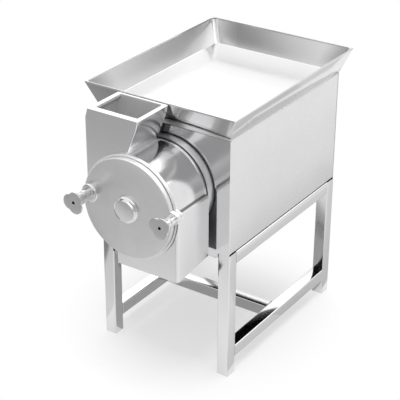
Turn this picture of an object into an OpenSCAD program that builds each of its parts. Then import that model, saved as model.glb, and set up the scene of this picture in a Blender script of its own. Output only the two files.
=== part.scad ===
// Floor-standing vegetable cutting machine with a drum chamber, a feed hopper and a loading tray.
// The front faces -Y. Heights are above the floor. The origin is on the floor, under the middle of the outline.

/* [Stand] */
// Outer side of the square leg and rail tube
tube = 40; // [36:1:46]
// Wall of the square tube
tube_wall = 2; // [1.5:0.5:3]
// Outer corner radius of the square tube
tube_round = 4; // [3.5:0.5:6]
// Width over the legs
stand_w = 460; // [450:1:500]
// Depth over the legs
stand_d = 620; // [600:1:680]
// Height of the legs, up to the seam under the body panels
stand_h = 415; // [400:1:450]
// Height of the underside of the lower rails
low_rail_z = 52; // [40:1:90]
// Distance of the cross rail in front of the middle of the stand
cross_rail_ahead = 8; // [0:1:60]
// Thickness of the plates welded into the leg ends
end_plate_t = 3; // [2:0.5:5]

/* [Body] */
// Height of the body panels
body_h = 363; // [350:1:400]
// Thickness of the side panels and the rear cover
panel_t = 2; // [1.5:0.5:3]
// Thickness of the front panel that carries the chamber
front_t = 4; // [3:0.5:8]
// Step from the outside of the legs to the side panels
panel_inset = 3; // [1:0.5:6]
// Width of the flanges folded along the panel edges
panel_fold = 20; // [16:1:24]
// Outer radius of the folds along the upright panel edges
panel_round = 4; // [3.5:0.5:6]
// Depth of the belly pan below the seam
pan_drop = 14; // [8:1:20]
// Thickness of the belly pan
pan_t = 3; // [2:0.5:5]
// Width of the pan flanges that rest on the rails
pan_rest_w = 15; // [10:1:20]

/* [Rear cover] */
// Width of a louvre
louvre_w = 90; // [60:1:100]
// Height of the slot under a louvre
louvre_h = 5; // [4:0.5:7]
// Reach of a louvre out of the cover
louvre_out = 5; // [4:0.5:8]
// Height from one louvre to the next
louvre_pitch = 18; // [16:1:22]
// Number of louvres in a column
louvre_rows = 9; // [3:1:10]
// Depth of the top louvre below the tray
louvre_drop = 110; // [60:5:120]
// Radius of the cover screws
cover_screw_r = 2.5; // [2:0.5:3]
// Number of screws up each side of the cover
cover_screws = 4; // [2:1:6]
// Height of the cable gland above the seam
gland_up = 45; // [30:1:80]
// Distance of the cable gland from the left edge of the cover
gland_in = 70; // [50:1:120]
// Radius of the gland thread
gland_r = 8; // [7:0.5:10]
// Radius of the cable hole
cable_r = 4; // [3:0.5:5]

/* [Switch] */
// Height of the switch above the seam
switch_up = 270; // [60:5:300]
// Distance of the switch behind the front panel
switch_back = 90; // [50:5:500]
// Side of the square switch box
switch_side = 66; // [56:1:80]
// Depth of the switch box
switch_depth = 18; // [14:1:18]
// Radius of the round plate under the switch handle
dial_r = 26; // [22:1:27]
// Length of the switch handle
handle_len = 44; // [36:1:50]
// Width of the switch handle
handle_w = 12; // [10:1:14]
// Height of the switch handle
handle_h = 8; // [6:1:8]
// Radius of the switch spindle
spindle_r = 4; // [3:0.5:4]

/* [Tray] */
// Height of the sloping tray walls
tray_rise = 78; // [60:1:110]
// Reach of the tray rim beyond the legs on every side
tray_flare = 27; // [15:1:30]
// Thickness of the tray sheet
tray_t = 2; // [1.5:0.5:3]
// Height of the hem folded along the rim
tray_hem = 3; // [2:1:8]

/* [Chamber] */
// Height of the shaft axis above the seam
axis_up = 178; // [175:1:190]
// Distance of the shaft axis to the right of the middle
axis_x = 16; // [0:1:20]
// Outer radius of the drum
drum_r = 147; // [145:1:150]
// Wall of the drum
drum_wall = 3; // [2:0.5:5]
// Length of the chamber, from its gasket to the drum mouth
drum_len = 153; // [145:1:180]
// Length of the collar between the body and the chamber
collar_len = 17; // [14:1:30]
// Radial width of the collar
collar_w = 14; // [12:1:18]
// Thickness of the gasket on the collar
gasket_t = 4; // [1:0.5:5]
// Thickness of the back plate of the drum
back_plate_t = 8; // [7:0.5:12]
// Width of the strips of drum wall left in front of and behind the lower opening
shell_strip = 6; // [5:0.5:10]
// Step by which the back plate stands proud of the drum
back_plate_step = 2; // [1:0.5:3]
// Thickness of the flange round the drum mouth
flange_t = 8; // [6:0.5:12]
// Reach of the flange outside the drum
flange_out = 10; // [8:1:14]
// Reach of the flange inside the drum wall
flange_in = 6; // [3:1:8]
// Reach of the shaft seal out of the back plate into the drum
seal_reach = 6; // [3:1:8]
// Outer radius of the shaft seal
seal_r = 30; // [26:1:34]

/* [Hopper] */
// Drop of the hopper mouth below the tray rim
hopper_drop = 3; // [1:1:10]
// Distance from the shaft axis to the left edge of the mouth
mouth_left = 148; // [144:1:152]
// Distance from the shaft axis to the right edge of the mouth
mouth_right = 24; // [20:1:40]
// Distance from the shaft axis to the upright left wall
hopper_left = 156; // [154:1:160]
// Height of the upper part of the right wall
hopper_kink_drop = 28; // [20:1:40]
// Inward step of the right wall over its upper part
hopper_kink_in = 6; // [2:1:10]
// Distance from the shaft axis to the foot of the right wall
hopper_foot = 16; // [8:1:24]
// Width of the flat rim at the sides of the mouth
mouth_side = 14; // [8:1:16]
// Width of the flat rim at the front of the mouth
mouth_front = 20; // [8:1:24]
// Width of the flat rim at the back of the mouth
mouth_back = 8; // [4:1:12]
// Width of the welded lip at the foot of the right wall
lip_w = 10; // [6:1:14]
// Thickness of that lip
lip_t = 2; // [1:0.5:4]
// Depth of the straight edge inside the mouth
mouth_edge = 8; // [4:1:14]
// Wall of the hopper below its rim
hopper_wall = 5; // [4:0.5:7]
// Height of the lower end of the hopper inside, above the shaft axis
throat_up = 37; // [30:1:50]
// Height of the lower end of the left wall, above the shaft axis
hopper_low_up = 8; // [4:1:16]

/* [Outlet] */
// Distance from the shaft axis to the right wall
outlet_right = 155; // [154:1:160]
// Distance from the shaft axis to the left wall
outlet_left = 64; // [50:1:80]
// Drop of the front lower edge below the shaft axis
outlet_drop = 199; // [190:1:210]
// Rise of the lower edge from the front to the back
outlet_rise = 18; // [0:1:30]
// Wall of the outlet
outlet_wall = 5; // [3:0.5:6]
// Radius of the upright front corners
outlet_corner = 10; // [7:1:14]
// Height of the sloping shoulder above the shaft axis
shoulder_up = 19; // [10:1:24]
// Height of the shoulder slope
shoulder_h = 12; // [8:1:16]

/* [Grate and fixed knives] */
// Number of bars in the discharge grate
grate_bars = 19; // [9:1:25]
// Radius of a grate bar
grate_bar_r = 2.5; // [2:0.5:3]
// Thickness of the arcs that carry the bars
grate_end_t = 4; // [3:0.5:5]
// Height of those arcs over the drum wall
grate_end_h = 9.5; // [9:0.5:11]
// First angle of the grate
grate_from = -112; // [-120:1:-100]
// Last angle of the grate
grate_to = -4; // [-20:1:-4]
// Radial height of the fixed knives
knife_h = 26; // [12:1:30]
// Thickness of the fixed knives
knife_t = 5; // [3:0.5:8]
// Angle that one fixed knife covers
knife_span = 24; // [16:1:30]

/* [Rotor] */
// Radius of the main shaft
shaft_r = 15; // [12.5:0.5:16]
// Radius of the threaded shaft end that takes the nut
thread_r = 11; // [10.5:0.5:12]
// Radius of the front journal that runs in the door
journal_r = 9; // [8:0.5:10]
// Radius of the rotor hub
hub_r = 30; // [26:1:34]
// Axial distance from one blade row to the next
blade_pitch = 40; // [34:1:42]
// Number of blade rows
blade_rows = 3; // [2:1:3]
// Radius swept by the blade tips
blade_tip_r = 132; // [115:1:134]
// Width of a blade at its root
blade_w = 34; // [24:1:40]
// Thickness of a blade
blade_t = 5; // [3:0.5:8]
// Width of the ground edge of a blade
blade_ground_w = 10; // [6:1:14]
// Width of the rotor nut over its corners
nut_w = 40; // [34:1:46]
// Thickness of the rotor nut
nut_t = 13; // [8:1:14]

/* [Door] */
// Radius of the door
door_r = 151; // [149:1:154]
// Depth of the door rim
door_rim_t = 14; // [12:1:18]
// Thickness of the door face
door_face_t = 5; // [3:0.5:8]
// Radius of the rounded front edge of the door
door_round = 3; // [2:0.5:4]
// Thickness of the door seal
door_seal_t = 2; // [1:0.5:4]
// Radius of the round boss in the middle of the door
boss_r = 31; // [26:1:36]
// Height of that boss
boss_h = 16; // [14:1:22]
// Radius of the rounded edge of the boss
boss_round = 5; // [2:0.5:7]
// Wall of the bush in the boss
bush_wall = 4; // [3:0.5:5]

/* [Clamps] */
// Distance of the left clamp from the shaft axis
clamp_left_r = 122; // [112:1:128]
// Angle of the left clamp round the shaft axis
clamp_left_a = 170; // [165:1:180]
// Length of the left knob in front of its collar
knob_left_len = 69; // [50:1:80]
// Distance of the right clamp from the shaft axis
clamp_right_r = 157; // [155:1:162]
// Angle of the right clamp round the shaft axis
clamp_right_a = 6; // [0:1:12]
// Length of the right knob in front of the door
knob_right_len = 64; // [50:1:80]
// Radius of the clamp lugs on the flange and the door
lug_r = 17; // [14:1:20]
// Radius of the clamp screws
screw_r = 6; // [5:0.5:7]
// Radius of the collar on the door under the left knob
clamp_collar_r = 20; // [17:1:24]
// Height of that collar
clamp_collar_h = 16; // [10:1:20]
// Radius of the knob sleeve
sleeve_r = 17; // [14:1:19]
// Depth of the groove round the sleeve
sleeve_groove = 1.5; // [1:0.5:3]
// Radius of the three lobes of a knob plate
lobe_r = 23.5; // [20:0.5:26]
// Distance from the knob axis to the middle of a lobe
lobe_off = 11.5; // [8:0.5:13]
// Thickness of a knob plate
knob_plate_t = 5; // [4:0.5:8]
// Radius of the hole in the middle of a knob plate
knob_hole_r = 3; // [2:0.5:4]

/* [Drive] */
// Radius of the driven pulley
big_pulley_r = 78; // [70:1:84]
// Radius of the motor pulley
small_pulley_r = 44; // [38:1:48]
// Width of both pulleys
pulley_w = 22; // [20:1:26]
// Width of the belt at its back
belt_w = 13; // [10:0.5:14]
// Thickness of the belt
belt_t = 8; // [6:0.5:9]
// Height of the bearing axis above the foot of a bearing block
bearing_h = 36; // [34:1:40]
// Radius of the bearing insert
insert_r = 24; // [22:1:26]
// Depth of a bearing block along the shaft
bearing_d = 34; // [28:1:38]
// Distance of the front bearing behind the front panel
front_bearing_back = 40; // [32:1:60]
// Distance between the two bearing blocks
bearing_span = 350; // [300:1:380]
// Distance of the motor axis to the left of the shaft axis
motor_left = 112; // [108:1:124]
// Height of the motor axis above the motor feet
motor_h = 80; // [76:1:84]
// Radius of the motor frame without its fins
motor_r = 58; // [54:1:58]
// Height of the cooling fins
fin_h = 6; // [3:1:6]
// Number of cooling fins
fin_count = 28; // [16:2:36]
// Length of the motor frame
motor_len = 190; // [170:1:200]
// Thickness of the rails under the motor
motor_rail_t = 8; // [5:1:10]
// Radius of the motor shaft
motor_shaft_r = 12; // [9.5:0.5:12]
// Thickness of the motor end shields
shield_t = 14; // [10:1:18]
// Room under the fan cover
fan_room = 42; // [38:1:50]
// Wall of the bench under the bearing blocks
pedestal_t = 6; // [4:0.5:8]
// Width of the column of that bench
bench_w = 72; // [64:1:74]
// Width of the foot of a bearing block
block_w = 124; // [120:1:128]
// Thickness of the foot of a bearing block
block_foot_t = 14; // [10:1:16]

/* [Fasteners] */
// Radius of the long chamber bolts
bolt_r = 4; // [3:0.5:5]
// Number of chamber bolts
bolt_count = 6; // [4:1:8]
// Radius of the bolts that hold the bearing blocks
block_bolt_r = 5; // [4:0.5:6]
// Radius of the bolts that hold the motor
motor_bolt_r = 4; // [3:0.5:5]

/* [Clearances] */
// Gap between round parts that are welded or bolted together
weld_gap = 0.3; // [0.2:0.1:0.5]
// Radial gap of a running fit
run_gap = 0.06; // [0.02:0.01:0.1]
// Gap between a screw and its hole
hole_gap = 0.4; // [0.3:0.1:0.6]
// Gap between parts that move past each other
side_gap = 0.5; // [0.3:0.1:0.8]

/* [Hidden] */
$fn = 64;

// Stand and body
half_w = stand_w / 2;
half_d = stand_d / 2;
rail_span_y = stand_d - 2 * tube;
body_half_w = half_w - panel_inset;
body_top = stand_h + body_h;
rim_z = body_top + tray_rise;
front_y = -half_d;
front_in_y = front_y + front_t;
rear_in_y = half_d - panel_t;
pan_half_w = half_w - tube - side_gap;
pan_back_y = half_d - tube - side_gap;
pan_floor_z = stand_h - pan_drop + pan_t;
steel = "lightgray";
polished = "gainsboro";
dark_metal = "dimgray";
black = "black";

// How far a cut runs past the face it goes through
cut = 1;

// Chamber, from the body forwards
axis_z = stand_h + axis_up;
collar_y = front_y - collar_len;
gasket_y = collar_y - gasket_t;
plate_y = gasket_y - back_plate_t;
mouth_y = gasket_y - drum_len;
flange_y = mouth_y - flange_t;
door_seal_y = flange_y - door_seal_t;
door_y = door_seal_y - door_rim_t;
boss_y = door_y - boss_h;
drum_in_r = drum_r - drum_wall;
flange_in_r = drum_in_r - flange_in;
flange_out_r = drum_r + flange_out;
bolt_circle_r = drum_r - collar_w / 2;

// Hopper and outlet
hopper_back_y = -half_d - tray_flare - 3;
hopper_top_z = rim_z - hopper_drop;
hopper_kink_z = hopper_top_z - hopper_kink_drop;
hopper_low_z = axis_z + hopper_low_up;
hopper_in_x = axis_x - hopper_left + hopper_wall;
ramp_w = 12;
ramp_h = 24;
outlet_z = axis_z - outlet_drop;

// Rear cover and switch
cover_screw_x = body_half_w - panel_fold / 2;
cover_screw_z = [for (i = [0:cover_screws - 1])
    stand_h + 30 + (body_h - 60) * i / (cover_screws - 1)];
gland_at = [-body_half_w + gland_in, stand_h + gland_up];
gland_nut_r = gland_r + 5;
dial_t = 2;
switch_y = front_in_y + switch_back;
switch_z = stand_h + switch_up;
switch_face_x = -body_half_w - switch_depth;
dial_face_x = switch_face_x - dial_t;

// Clamps
clamp_left = [axis_x + clamp_left_r * cos(clamp_left_a), axis_z + clamp_left_r * sin(clamp_left_a)];
clamp_right = [axis_x + clamp_right_r * cos(clamp_right_a), axis_z + clamp_right_r * sin(clamp_right_a)];
knob_left_seat_y = door_y - clamp_collar_h - weld_gap;
knob_right_seat_y = door_y - weld_gap;
knob_left_tip_y = knob_left_seat_y - knob_left_len;
knob_right_tip_y = knob_right_seat_y - knob_right_len;
knob_left_turn = 60;
knob_right_turn = 40;
screw_end_y = mouth_y + 2;

// Rotor
hub_back_y = plate_y - seal_reach - 2;
hub_end = 18;
hub_len = blade_pitch * (blade_rows - 1) + 2 * hub_end;
hub_front_y = hub_back_y - hub_len;
rotor_mid_y = (hub_back_y + hub_front_y) / 2;
knife_angles = [184, 222];
nut_front_y = hub_front_y - nut_t;
blade_turn = 60;
blade_edge = blade_w / 2 + 5;
blade_taper = 8;
journal_front_y = boss_y + 6;

// Drive
front_bearing_y = front_in_y + front_bearing_back;
rear_bearing_y = front_bearing_y + bearing_span;
bench_top_half_w = block_w / 2 + 3;
block_bolt_x = block_w / 2 - 14;
pedestal_top_z = axis_z - bearing_h;
pulley_y = rear_bearing_y + bearing_d / 2 + pulley_w / 2 + 14;
shaft_back_y = pulley_y + pulley_w / 2 + 4;
motor_x = axis_x - motor_left;
motor_z = pan_floor_z + motor_rail_t + motor_h;
motor_back_y = pulley_y - pulley_w / 2 - shield_t - 16;
motor_front_y = motor_back_y - motor_len;
motor_mid_y = (motor_front_y + motor_back_y) / 2;
motor_out_r = motor_r + fin_h;
motor_foot_x = 50;
motor_foot_y = motor_len / 2 - 33;
motor_foot_z = pan_floor_z + motor_rail_t;
motor_foot_t = 9;
motor_pad_t = 2;
rotor_gap = 1;
stator_t = 11;
frame_wall = 6;
fan_hub_r = 18;
fan_plate_t = 4;
belt_run = norm([motor_x - axis_x, motor_z - axis_z]);
belt_dir = atan2(motor_z - axis_z, motor_x - axis_x);
belt_lean = acos((big_pulley_r - small_pulley_r) / belt_run);
belt_slant = 0.3;
belt_inset = 0.05;
belt_lap = 1;

// Middle of the whole outline, which goes over the origin
reach_front_y = min(knob_left_tip_y, knob_right_tip_y);
reach_back_y = half_d + tray_flare;
home_y = -(reach_front_y + reach_back_y) / 2;

module home() {
    translate([0, home_y, 0]) children();
}

// A flat outline drawn in X and Z, carried from back_y forwards to front
module carry_y(front, back) {
    translate([0, back, 0]) rotate([90, 0, 0]) linear_extrude(back - front) children();
}

module rod_y(r, front, back, at) {
    translate([at[0], back, at[1]]) rotate([90, 0, 0]) cylinder(r = r, h = back - front);
}

module tube_y(r_out, r_in, front, back, at) {
    difference() {
        rod_y(r_out, front, back, at);
        rod_y(r_in, front - 1, back + 1, at);
    }
}

// A hexagon of radius r over its corners, from front to back
module hex_y(r, front, back, at) {
    translate([at[0], back, at[1]]) rotate([90, 0, 0]) cylinder(r = r, h = back - front, $fn = 6);
}

// A rod along X, at a place given in Y and Z
module rod_x(r, left, right, at) {
    translate([left, at[0], at[1]]) rotate([0, 90, 0]) cylinder(r = r, h = right - left);
}

// A profile of radius and forward distance, turned about an axis along Y
module turned_y(at, y) {
    translate([at[0], y, at[1]]) rotate([90, 0, 0]) rotate_extrude() children();
}

// The wedge between two angles, up to the radius r
module wedge(r, from, to) {
    steps = ceil((to - from) / 30);
    polygon(concat([[0, 0]], [for (i = [0:steps])
        1.3 * r * [cos(from + (to - from) * i / steps), sin(from + (to - from) * i / steps)]]));
}

module ring_sector(r_out, r_in, from, to) {
    intersection() {
        difference() {
            circle(r_out);
            circle(r_in);
        }
        wedge(r_out, from, to);
    }
}

// A square of the given side with rounded corners
module rounded_square(side, r) {
    square([side, side - 2 * r], center = true);
    square([side - 2 * r, side], center = true);
    for (x = [-1, 1], y = [-1, 1])
        translate([x * (side / 2 - r), y * (side / 2 - r)]) circle(r);
}

module square_tube_z(length) {
    linear_extrude(length) difference() {
        rounded_square(tube, tube_round);
        rounded_square(tube - 2 * tube_wall, tube_round - tube_wall);
    }
}

module leg(side, end) {
    color(steel)
        translate([side * (half_w - tube / 2), end * (half_d - tube / 2), 0]) square_tube_z(stand_h);
}

module leg_end_plates() {
    color(steel)
        for (side = [-1, 1], end = [-1, 1])
            translate([side * (half_w - tube / 2), end * (half_d - tube / 2), 0])
                linear_extrude(end_plate_t)
                    rounded_square(tube - 2 * tube_wall - 2 * weld_gap, tube_round - tube_wall);
}

module side_rail(side, low_z) {
    color(steel)
        translate([side * (half_w - tube / 2), -rail_span_y / 2, low_z + tube / 2])
            rotate([-90, 0, 0]) square_tube_z(rail_span_y);
}

module cross_rail(y, low_z) {
    span = stand_w - 2 * tube;
    color(steel)
        translate([-span / 2, y, low_z + tube / 2]) rotate([0, 90, 0]) square_tube_z(span);
}

// Pan hung between the upper rails, open at the top, with flanges that rest on the rails
module belly_pan() {
    depth = pan_back_y - front_in_y;
    color(steel)
        difference() {
            union() {
                translate([-pan_half_w, front_in_y, stand_h - pan_drop])
                    cube([2 * pan_half_w, depth, pan_drop + pan_t]);
                translate([-pan_half_w - pan_rest_w, front_in_y, stand_h])
                    cube([2 * (pan_half_w + pan_rest_w), depth + pan_rest_w, pan_t]);
            }
            translate([-pan_half_w + pan_t, front_in_y + pan_t, pan_floor_z])
                cube([2 * (pan_half_w - pan_t), depth - 2 * pan_t, pan_drop + pan_t]);
        }
}

// Front panel with a tongue between the legs, which hides the belly pan
module front_panel() {
    color(polished)
        difference() {
            carry_y(front_y, front_in_y) polygon([
                [-body_half_w, body_top], [body_half_w, body_top], [body_half_w, stand_h],
                [pan_half_w, stand_h], [pan_half_w, stand_h - pan_drop],
                [-pan_half_w, stand_h - pan_drop], [-pan_half_w, stand_h], [-body_half_w, stand_h]]);
            rod_y(shaft_r + 8, front_y - 1, front_in_y + 1, [axis_x, axis_z]);
            chamber_bolt_holes(front_y - 1, front_in_y + 1);
        }
}

// Plan of a side panel, or of the room inside its folds
module panel_plan(inset) {
    low_x = body_half_w - panel_fold - (inset > 0 ? cut : 0);
    high_x = body_half_w - inset;
    low_y = front_in_y + inset;
    high_y = rear_in_y - inset;
    r = panel_round - inset;
    translate([low_x, low_y]) square([high_x - r - low_x, high_y - low_y]);
    translate([low_x, low_y + r]) square([high_x - low_x, high_y - low_y - 2 * r]);
    for (y = [low_y + r, high_y - r])
        translate([high_x - r, y]) circle(r);
}

// Side panel folded from one sheet, with flanges on all four edges
module side_panel(side) {
    color(polished)
        mirror([side < 0 ? 1 : 0, 0, 0])
            difference() {
                translate([0, 0, stand_h]) linear_extrude(body_h) panel_plan(0);
                translate([0, 0, stand_h + panel_t]) linear_extrude(body_h - 2 * panel_t) panel_plan(panel_t);
                cover_screw_holes(rear_in_y - panel_t - cut, rear_in_y + cut);
            }
}

module cover_screw_holes(front, back) {
    for (side = [-1, 1], z = cover_screw_z)
        rod_y(cover_screw_r + hole_gap, front, back, [side * cover_screw_x, z]);
}

// Rear cover with two columns of louvres, each a slot under a sloping hood that is open below
module rear_cover() {
    color(polished)
        difference() {
            union() {
                translate([-body_half_w, rear_in_y, stand_h]) cube([2 * body_half_w, panel_t, body_h]);
                louvres() louvre_hood(louvre_w + 2 * panel_t, louvre_out, louvre_h + louvre_out);
            }
            louvres() translate([0, -panel_t, 0])
                louvre_hood(louvre_w, panel_t + louvre_out - panel_t * 0.8, louvre_h);
            louvres() translate([-louvre_w / 2, -panel_t - cut, 0]) cube([louvre_w, panel_t + 2 * cut, louvre_h]);
            cover_screw_holes(rear_in_y - cut, half_d + cut);
            rod_y(gland_r + hole_gap, rear_in_y - cut, half_d + cut, gland_at);
        }
}

// Places each louvre with its lower edge on the outer face of the cover
module louvres() {
    for (side = [-1, 1], row = [0:louvre_rows - 1])
        translate([side * louvre_w * 0.75, half_d, body_top - louvre_drop - row * louvre_pitch]) children();
}

// A louvre seen from the side: upright for the height of the slot, then sloping back to the cover
module louvre_hood(width, reach, high) {
    translate([-width / 2, 0, 0]) rotate([90, 0, 90]) linear_extrude(width)
        polygon([[0, -cut / 2], [reach, -cut / 2], [reach, high - louvre_out * 0.9], [0, high + cut]]);
}

module rear_cover_screws() {
    head_h = 3;
    color(steel)
        for (side = [-1, 1], z = cover_screw_z) {
            rod_y(cover_screw_r, rear_in_y - 8, half_d + cut, [side * cover_screw_x, z]);
            turned_y([side * cover_screw_x, z], half_d + head_h)
                polygon([[0, 0], [cover_screw_r, 0], [1.7 * cover_screw_r, head_h / 2],
                    [1.8 * cover_screw_r, head_h], [0, head_h]]);
        }
}

// Cable gland with its lock nut behind the cover
module cable_gland() {
    color(black)
        difference() {
            union() {
                rod_y(gland_r, rear_in_y - 8, half_d + 12, gland_at);
                hex_y(gland_nut_r, half_d, half_d + 6, gland_at);
                hex_y(gland_nut_r, rear_in_y - 5, rear_in_y, gland_at);
            }
            rod_y(cable_r, rear_in_y - 8 - cut, half_d + 12 + cut, gland_at);
        }
}

// Square switch box on the left side panel, with a round dial plate
module switch_box() {
    half = switch_side / 2;
    round = 6;
    color("dimgray")
        difference() {
            union() {
                translate([-body_half_w - switch_depth, switch_y, switch_z]) rotate([90, 0, 90])
                    linear_extrude(switch_depth) rounded_square(switch_side, round);
                rod_x(dial_r, dial_face_x, -body_half_w, [switch_y, switch_z]);
            }
            rod_x(spindle_r + run_gap, dial_face_x - cut, dial_face_x + switch_depth / 2, [switch_y, switch_z]);
        }
}

// Bar handle that turns on its spindle over the dial plate
module switch_handle() {
    back_x = dial_face_x - weld_gap;
    straight = handle_len - handle_w;
    color("red") {
        translate([back_x - handle_h, switch_y, switch_z]) rotate([90, 0, 90]) linear_extrude(handle_h) {
            square([handle_w, straight], center = true);
            for (end = [-1, 1])
                translate([0, end * straight / 2]) circle(handle_w / 2);
        }
        rod_x(spindle_r, back_x - cut, dial_face_x + switch_depth / 2 - cut, [switch_y, switch_z]);
    }
}

// Side view of the flared tray, from the height low to the height high
module tray_flank(half, reach, low, high) {
    polygon([[-half, low], [half, low], [reach, high], [-reach, high]]);
}

// The outside of the tray, or its inside when it is drawn smaller and higher
module tray_body(inset, low, high) {
    side_x = body_half_w - inset;
    side_y = half_d - inset;
    intersection() {
        carry_y(-stand_d, stand_d) tray_flank(side_x, half_w + tray_flare - inset, low, high);
        translate([-stand_d, 0, 0]) rotate([90, 0, 90]) linear_extrude(2 * stand_d)
            tray_flank(side_y, half_d + tray_flare - inset, low, high);
    }
}

module tray() {
    reach_x = half_w + tray_flare;
    reach_y = half_d + tray_flare;
    color(polished)
        difference() {
            union() {
                tray_body(0, body_top, rim_z);
                translate([-reach_x, -reach_y, rim_z - tray_hem]) cube([2 * reach_x, 2 * reach_y, tray_hem]);
            }
            tray_body(tray_t, body_top + tray_t, rim_z);
            translate([0, 0, tray_t]) tray_body(tray_t, body_top + tray_t, rim_z);
        }
}

// Chamber
module chamber_bolt_holes(front, back) {
    for (i = [0:bolt_count - 1])
        rod_y(bolt_r + hole_gap, front, back, bolt_at(i));
}

function bolt_at(i) = [
    axis_x + bolt_circle_r * cos((i + 0.5) * 360 / bolt_count),
    axis_z + bolt_circle_r * sin((i + 0.5) * 360 / bolt_count)];

module mounting_collar() {
    color(polished)
        difference() {
            tube_y(drum_r, drum_r - collar_w, collar_y, front_y, [axis_x, axis_z]);
            chamber_bolt_holes(collar_y - 1, front_y + 1);
        }
}

module collar_gasket() {
    color(black)
        difference() {
            tube_y(drum_r + 1, drum_r - collar_w, gasket_y, collar_y, [axis_x, axis_z]);
            chamber_bolt_holes(gasket_y - 1, collar_y + 1);
        }
}

module drum_back_plate() {
    color(polished)
        difference() {
            rod_y(drum_r + back_plate_step, plate_y, gasket_y, [axis_x, axis_z]);
            rod_y(seal_r + weld_gap, plate_y - 1, gasket_y + 1, [axis_x, axis_z]);
            chamber_bolt_holes(gasket_y - back_plate_t + 2, gasket_y + 1);
        }
}

// The drum wall, open to the hopper above and to the outlet below
module drum_shell() {
    color(polished)
        difference() {
            tube_y(drum_r, drum_in_r, mouth_y, plate_y, [axis_x, axis_z]);
            hopper_space();
            intersection() {
                outlet_space();
                translate([-half_w, mouth_y + shell_strip, outlet_z])
                    cube([stand_w, plate_y - mouth_y - 2 * shell_strip, axis_z - outlet_z - shell_strip]);
            }
        }
}

module drum_front_flange() {
    color(polished)
        difference() {
            union() {
                tube_y(flange_out_r, flange_in_r, flange_y, mouth_y, [axis_x, axis_z]);
                rod_y(lug_r, flange_y, mouth_y, clamp_right);
                intersection() {
                    rod_y(drum_r, flange_y, mouth_y, [axis_x, axis_z]);
                    clamp_arm(flange_y, mouth_y);
                }
            }
            rod_y(screw_r + weld_gap, flange_y - 1, mouth_y + 1, clamp_right);
            rod_y(screw_r + weld_gap, flange_y - 1, mouth_y + 1, clamp_left);
        }
}

// Arm that reaches from the flange inwards to the left clamp screw
module clamp_arm(front, back) {
    rod_y(lug_r, front, back, clamp_left);
    translate([axis_x, 0, axis_z]) rotate([0, 180 - clamp_left_a, 0])
        translate([-drum_r, front, -lug_r]) cube([drum_r - clamp_left_r, back - front, 2 * lug_r]);
}

// Outline of the hopper in X and Z, from the mouth down to the side of the drum
module hopper_outline() {
    polygon([
        [axis_x - mouth_left, hopper_top_z], [axis_x + mouth_right, hopper_top_z],
        [axis_x + mouth_right - hopper_kink_in, hopper_top_z - hopper_kink_drop],
        [axis_x - hopper_foot, axis_z + drum_r - 2], [axis_x - hopper_foot, axis_z + drum_r / 2],
        [axis_x - hopper_left + 20, hopper_low_z], [axis_x - hopper_left, hopper_low_z],
        [axis_x - hopper_left, hopper_top_z - hopper_kink_drop]]);
}

// Room between the left and right walls, drawn in by a gap. It widens below the thick rim.
module hopper_bore(gap) {
    edge_z = hopper_top_z - mouth_edge;
    left = hopper_in_x + gap;
    right = axis_x - hopper_foot - hopper_wall - gap;
    rim_left = axis_x - mouth_left + mouth_side + gap;
    rim_right = axis_x + mouth_right - mouth_side - gap;
    carry_y(mouth_y - cut, hopper_back_y + cut) polygon([
        [rim_left, hopper_top_z + 1], [rim_right, hopper_top_z + 1], [rim_right, edge_z],
        [axis_x + mouth_right - hopper_kink_in - hopper_wall - gap, hopper_kink_z],
        [right, axis_z + drum_r], [right, axis_z + throat_up],
        [axis_x - hopper_left + 22, hopper_low_z - cut], [left, hopper_low_z - cut],
        [left, hopper_kink_z], [rim_left, edge_z]]);
}

// Room between the front and back walls
module hopper_reach() {
    edge_z = hopper_top_z - mouth_edge;
    front = mouth_y + hopper_wall;
    back = hopper_back_y - hopper_wall;
    translate([-stand_w, 0, 0]) rotate([90, 0, 90]) linear_extrude(2 * stand_w) polygon([
        [mouth_y + mouth_front, hopper_top_z + 1], [hopper_back_y - mouth_back, hopper_top_z + 1],
        [hopper_back_y - mouth_back, edge_z], [back, hopper_kink_z], [back, hopper_low_z - cut],
        [front, hopper_low_z - cut], [front, hopper_kink_z], [mouth_y + mouth_front, edge_z]]);
}

// The room inside the hopper, carried down through the drum wall
module hopper_space() {
    intersection() {
        hopper_bore(0);
        hopper_reach();
    }
}

// The block between two heights that two pairs of walls are cut from
module hopper_block(low, high) {
    intersection() {
        carry_y(mouth_y, hopper_back_y) hopper_outline();
        translate([-stand_w, mouth_y - cut, low])
            cube([2 * stand_w, hopper_back_y - mouth_y + 2 * cut, high - low]);
    }
}

// Left and right walls over the whole depth, and the front and back walls between them
module hopper_walls(low, high) {
    difference() {
        hopper_block(low, high);
        hopper_bore(0);
        rod_y(drum_r + weld_gap, mouth_y - cut, hopper_back_y + cut, [axis_x, axis_z]);
    }
    difference() {
        intersection() {
            hopper_block(low, high);
            hopper_bore(weld_gap);
        }
        hopper_reach();
        rod_y(drum_r + weld_gap, mouth_y - cut, hopper_back_y + cut, [axis_x, axis_z]);
    }
}

// Welded from four walls, a rim of four thick bars on them and a lip that lies along the drum
module hopper() {
    foot_a = acos(-hopper_foot / drum_r);
    lip_a = lip_w / drum_r * 180 / PI;
    seam_a = (lip_t + weld_gap) / drum_r * 180 / PI;
    seat_r = drum_r + weld_gap;
    color(polished) {
        hopper_walls(hopper_low_z, hopper_kink_z - weld_gap / 2);
        hopper_walls(hopper_kink_z + weld_gap / 2, hopper_top_z);
        translate([axis_x, 0, axis_z]) carry_y(mouth_y, hopper_back_y)
            ring_sector(seat_r + lip_t, seat_r, foot_a - lip_a, foot_a - seam_a);
    }
}

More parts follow.
